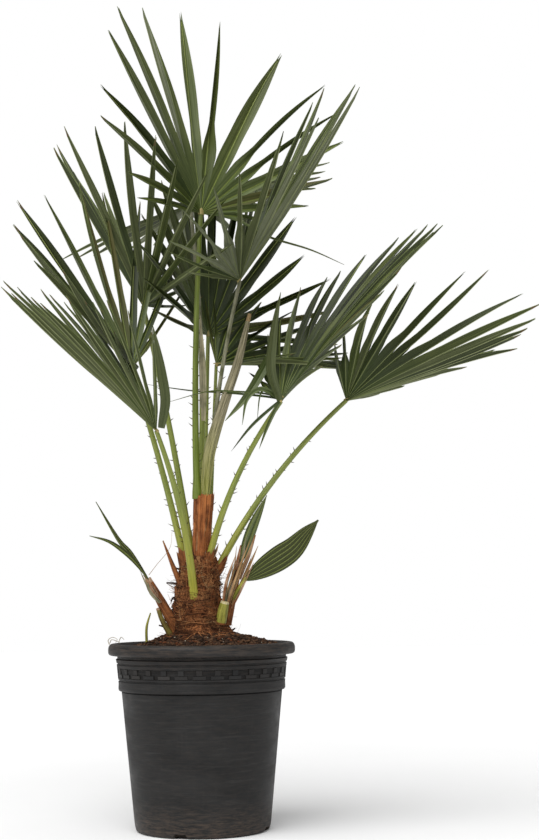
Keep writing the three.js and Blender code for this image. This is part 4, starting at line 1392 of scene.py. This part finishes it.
# Piece, node, slot, looks of its tenths from foot to tip, radii and line
SMALL_LIMBS = (
    ("sucker_left_base", "sucker_left", "sheath", runs(("scale", 9), ("papery", 1)), (0.007, 0.006, 0.0034),
     ((-0.03, -0.011, 0.248), (-0.05, -0.017, 0.285), (-0.068, -0.022, 0.318))),
    ("sucker_left_cut", "sucker_left_stub", "stub", runs(("stub_old", 9), ("papery", 1)),
     (0.004, 0.003, 0.0022), ((-0.038, -0.013, 0.242), (-0.05, -0.018, 0.264), (-0.056, -0.02, 0.28))),
    ("sucker_right_base", "sucker_right", "sheath", runs(("scale", 9), ("papery", 1)), (0.008, 0.0065, 0.005),
     ((0.03, -0.009, 0.258), (0.041, -0.011, 0.306), (0.049, -0.012, 0.338))),
    ("cut_leaf_stalk", "cut_stub", "stub", runs(("scale", 1), ("stub", 8), ("cut", 1)),
     (0.007, 0.0063, 0.0052), ((0.024, -0.022, 0.259), (0.027, -0.025, 0.274), (0.03, -0.027, 0.287))),
    ("sucker_right_petiole", "sucker_right_stalk", "stalk", runs(("stub", 10)), (0.003, 0.0026, 0.0022),
     ((0.039, -0.014, 0.288), (0.05, -0.022, 0.306), (0.058, -0.023, 0.317))),
    ("sucker_right_thorn_inner", "sucker_right_spike_inner", "sheath", runs(("papery", 9), ("scale_pale", 1)),
     (0.0026, 0.002, 0.0008), ((0.044, -0.016, 0.328), (0.048, -0.018, 0.344), (0.051, -0.018, 0.359))),
    ("sucker_right_thorn_outer", "sucker_right_spike_outer", "sheath", runs(("papery", 9), ("scale_pale", 1)),
     (0.003, 0.0026, 0.0008), ((0.048, -0.014, 0.316), (0.061, -0.017, 0.346), (0.07, -0.018, 0.372))),
    ("brown_bract", "trunk_bract", "trunk", runs(("scale", 9), ("scale_pale", 1)), (0.004, 0.003, 0.0008),
     ((-0.024, -0.009, 0.302), (-0.035, -0.012, 0.33), (-0.049, -0.014, 0.366))),
    ("green_shoot", "soil_shoot", "stalk", runs(("stub", 10)), (0.0018, 0.0016, 0.0008),
     ((-0.07, -0.02, 0.234), (-0.07, -0.021, 0.256), (-0.065, -0.022, 0.274))),
)
# Piece, node, look, width, folds, face and line
SUCKER_LEAVES = (
    ("sucker_leaf_long", "sucker_left_leaf_long", "leaf_young", 0.0085, 2, (0.7, -0.7, 0.3),
     ((-0.066, -0.022, 0.314), (-0.09, -0.026, 0.349), (-0.106, -0.027, 0.368), (-0.134, -0.03, 0.416))),
    ("sucker_leaf_low", "sucker_left_leaf_low", "leaf_young", 0.0068, 1, (0.3, -0.8, 0.5),
     ((-0.067, -0.026, 0.316), (-0.084, -0.033, 0.338), (-0.1, -0.037, 0.353), (-0.118, -0.041, 0.365),
      (-0.141, -0.044, 0.372))),
    ("sucker_leaf_narrow", "sucker_right_leaf_narrow", "leaf_olive", 0.014, 2, (0.3, -0.9, 0.1),
     ((0.048, -0.012, 0.331), (0.066, -0.004, 0.381), (0.086, 0, 0.424))),
    ("sucker_leaf_broad", "sucker_right_leaf_broad", "leaf_young", 0.034, 6, (-0.15, -0.9, 0.35),
     ((0.055, -0.023, 0.314), (0.078, -0.026, 0.328), (0.101, -0.027, 0.342), (0.119, -0.026, 0.355),
      (0.136, -0.025, 0.374), (0.151, -0.024, 0.39))),
)
PLEAT = dict(strips=6, steps=28, depth=0.25, narrowest=0.06, mapped=0.1, thickness=0.0009)

# Look, width and line of the leaflets outside the fans. Most of them leave the right fan at one place.
RIGHT_FAN = (0.102, -0.062, 0.541)
STRANDS = (
    ("leaf_olive", 0.0035, ((0.016, -0.02, 0.794), (0.054, -0.03, 0.781), (0.091, -0.04, 0.758),
                            (0.144, -0.045, 0.74), (0.188, -0.05, 0.719))),
    ("leaf_deep", 0.003, (RIGHT_FAN, (0.09, -0.06, 0.545), (0.039, -0.02, 0.556), (-0.011, 0.015, 0.564),
                          (-0.073, 0.02, 0.574))),
    ("leaf_olive", 0.0025, (RIGHT_FAN, (0.085, -0.062, 0.549), (0.045, -0.05, 0.554),
                            (0.009, -0.036, 0.556), (-0.044, -0.02, 0.544))),
    ("leaf_fresh", 0.012, ((0.093, -0.042, 0.606), (0.08, -0.044, 0.58), (0.058, -0.046, 0.546),
                           (0.032, -0.046, 0.517))),
    ("leaf_olive", 0.0035, (RIGHT_FAN, (0.094, -0.063, 0.55), (0.084, -0.064, 0.555),
                            (0.076, -0.066, 0.546), (0.072, -0.066, 0.513))),
    ("leaf_fresh", 0.007, (RIGHT_FAN, (0.089, -0.064, 0.551), (0.074, -0.066, 0.554),
                           (0.059, -0.068, 0.54), (0.053, -0.068, 0.509))),
    ("leaf_deep", 0.004, (RIGHT_FAN, (0.066, -0.066, 0.509), (0.039, -0.068, 0.476))),
    ("leaf_olive", 0.0045, (RIGHT_FAN, (0.086, -0.066, 0.509), (0.074, -0.068, 0.478))),
    ("under_grey", 0.0125, ((-0.048, -0.114, 0.501), (-0.043, -0.116, 0.533), (-0.047, -0.117, 0.567),
                            (-0.052, -0.117, 0.598), (-0.058, -0.116, 0.629))),
    ("under_grey", 0.0125, ((0.101, -0.063, 0.541), (0.09, -0.07, 0.576), (0.092, -0.072, 0.611),
                            (0.097, -0.072, 0.645), (0.104, -0.07, 0.679))),
)
STRAND = dict(steps=30, face=(0.1, -1, 0.3), fold=0.5)
BRACT = dict(
    width=0.008, steps=40, face=(0.2, -1, 0), fold=0.6,
    line=((0.004, -0.02, 0.52), (0.004, -0.021, 0.586), (0.001, -0.022, 0.658)),
)
# Bundles of papery strips. Each strip's foot is scattered about the bundle's, and its tip more widely.
PAPERY = (
    dict(count=16, seed=31, foot=(0.033, -0.016, 0.282), tip=(0.062, -0.018, 0.362),
         scatter=(0.006, 0.005, 0.006)),
    dict(count=9, seed=4, foot=(-0.052, -0.022, 0.287), tip=(-0.08, -0.028, 0.336),
         scatter=(0.002, 0.003, 0.002)),
)
STRIP = dict(
    width=(0.0018, 0.0048), length=(0.45, 1.0), spread=2.5, bow=0.004, forward=0.003, steps=14, turn=0.8,
    fold=0.5, looks=("papery", "papery", "felt", "fibre_straw"),
)
ROOT_CURLS = (
    ((-0.118, -0.01, 0.234), (-0.1195, -0.01, 0.24), (-0.114, -0.012, 0.2435), (-0.108, -0.013, 0.241),
     (-0.11, -0.013, 0.237)),
    ((-0.1175, -0.01, 0.236), (-0.115, -0.012, 0.2405), (-0.108, -0.013, 0.2385), (-0.104, -0.014, 0.236)),
    ((-0.106, -0.014, 0.237), (-0.103, -0.014, 0.2435), (-0.099, -0.014, 0.2405)),
)
CURL = dict(radius=0.0006, taper=0.5, steps=30, sides=6)
HAIR = dict(
    radius=0.0004, taper=0.6, steps=40, sides=5,
    line=((-0.067, -0.022, 0.322), (-0.056, -0.024, 0.336), (-0.04, -0.026, 0.356), (-0.037, -0.026, 0.377)),
)


def make_small_limbs():
    for piece, node, slot, looks, radii, line in SMALL_LIMBS:
        shape = Shape()
        tube(shape, spline(line, LIMB["steps"]), fluted(radii), LIMB["sides"],
             lambda share: looks[min(int(share * LIMB["looks"]), LIMB["looks"] - 1)])
        make_piece(piece, shape, [node])


def make_sucker_leaves():
    """Young leaves, pleated lengthwise, with pale stripes along their ridges."""
    for piece, node, body, width, folds, face, line in SUCKER_LEAVES:
        sheet, shape = Sheet(), Shape()
        places = spline(line, PLEAT["steps"])
        last = len(places) - 1
        normal = Vector(face).normalized()
        strips = PLEAT["strips"] * folds
        rows = []
        for k, place in enumerate(places):
            t = k / last
            along = direction_at(places, k)
            across = along.cross(normal).normalized()
            half = width / 2 * max(math.sin(math.pi * t ** 0.8) ** 0.9, PLEAT["narrowest"])
            row = []
            for j in range(strips + 1):
                share = 2 * j / strips - 1
                pleat = PLEAT["depth"] * half / folds * math.cos(2 * math.pi * folds * (share + 1) / 2)
                row.append(sheet.add(place + across * (share * half) + normal * pleat, normal,
                                     (share * half, t * PLEAT["mapped"])))
            rows.append(row)

        def looks(row, column):
            strip = column % PLEAT["strips"]
            striped = strip == 2 or (folds < 3 and strip == 3)
            return "stripe" if striped else body, "under_green"

        sheet.grid(rows, looks)
        sheet.close(shape, PLEAT["thickness"], "leaf_edge")
        make_piece(piece, shape, [node])


def make_strands():
    """Thin leaflets that hang out of the fans, two that stand up beside them, and the dead grey bract
    beside the top frond's stalk."""
    shape = Shape()
    face = Vector(STRAND["face"])
    for look, width, line in STRANDS:
        add_strip(shape, spline(line, STRAND["steps"]), width, face, look, look, STRAND["fold"])
    make_piece("loose_leaflets", shape)
    shape = Shape()
    line = spline(BRACT["line"], BRACT["steps"])
    add_strip(shape, line, BRACT["width"], Vector(BRACT["face"]), "felt", "papery", BRACT["fold"])
    make_piece("grey_bract", shape)


def make_papery_strips():
    """Torn papery strips round both suckers, a thin hair beside the left one and pale roots on the rim."""
    shape = Shape()
    for bundle in PAPERY:
        draws = random.Random(bundle["seed"])
        for _ in range(bundle["count"]):
            spot = Vector([draws.uniform(-1, 1) * reach for reach in bundle["scatter"]])
            foot = Vector(bundle["foot"]) + spot
            share = draws.uniform(*STRIP["length"])
            tip = foot.lerp(Vector(bundle["tip"]) + STRIP["spread"] * spot, share)
            bulge = Vector((draws.uniform(-STRIP["bow"], STRIP["bow"]), -STRIP["forward"], 0))
            line = spline((foot, (foot + tip) / 2 + bulge, tip), STRIP["steps"])
            face = Vector((draws.uniform(-STRIP["turn"], STRIP["turn"]), -1, 0.2))
            look = draws.choice(STRIP["looks"])
            add_strip(shape, line, draws.uniform(*STRIP["width"]), face, look, look, STRIP["fold"])
    make_piece("papery_strips", shape)
    shape = Shape()
    thread(shape, spline(HAIR["line"], HAIR["steps"]), HAIR, HAIR["radius"], "fibre_straw")
    make_piece("long_hair", shape)
    shape = Shape()
    for line in ROOT_CURLS:
        thread(shape, spline(line, CURL["steps"]), CURL, CURL["radius"], "crumb_pale")
    make_piece("root_curls", shape)


# Floor, light and camera

def make_floor():
    mesh = bpy.data.meshes.new("floor")
    corners = [(x * FLOOR_REACH, y * FLOOR_REACH, 0) for x, y in ((-1, -1), (1, -1), (1, 1), (-1, 1))]
    mesh.from_pydata(corners, [], [(0, 1, 2, 3)])
    mesh.materials.append(LOOKS["floor"])
    floor = put("floor", mesh)


def make_lights():
    """Even light from all sides with a soft key light, against a white background."""
    world = bpy.data.worlds.new("studio")
    bpy.context.scene.world = world
    world.use_nodes = True
    tree = world.node_tree
    background = tree.nodes["Background"]
    background.inputs["Color"].default_value = (1, 1, 1, 1)
    seen = tree.nodes.new("ShaderNodeLightPath")
    strength = tree.nodes.new("ShaderNodeMix")
    strength.inputs["A"].default_value = AMBIENT
    strength.inputs["B"].default_value = 1.0
    tree.links.new(seen.outputs["Is Camera Ray"], strength.inputs["Factor"])
    tree.links.new(strength.outputs["Result"], background.inputs["Strength"])
    lamp = bpy.data.lights.new("key", "SUN")
    lamp.energy = KEY["strength"]
    lamp.angle = KEY["width"]
    put("key", lamp).rotation_euler = Vector(KEY["aim"]).to_track_quat("-Z", "Y").to_euler()
    bpy.context.scene.view_settings.view_transform = "Standard"


def make_camera():
    ahead = Vector((math.sin(YAW) * math.cos(PITCH), math.cos(YAW) * math.cos(PITCH), math.sin(PITCH)))
    right = Vector((math.cos(YAW), -math.sin(YAW), 0))
    above = right.cross(ahead)
    across = right * math.cos(ROLL) + above * math.sin(ROLL)
    upward = above * math.cos(ROLL) - right * math.sin(ROLL)
    lens = bpy.data.cameras.new("camera")
    lens.sensor_width = SENSOR
    lens.lens = SENSOR * FOCAL / max(PICTURE)
    camera = put("camera", lens)
    camera.matrix_world = Matrix.Translation(EYE) @ Matrix((across, upward, -ahead)).transposed().to_4x4()
    bpy.context.scene.camera = camera


make_camera()
make_lights()
make_floor()
make_pot()
make_soil()
make_trunk()
make_sheath()
make_spear()
make_small_limbs()
make_sucker_leaves()
make_papery_strips()
make_stalks()
make_strands()
make_fans()
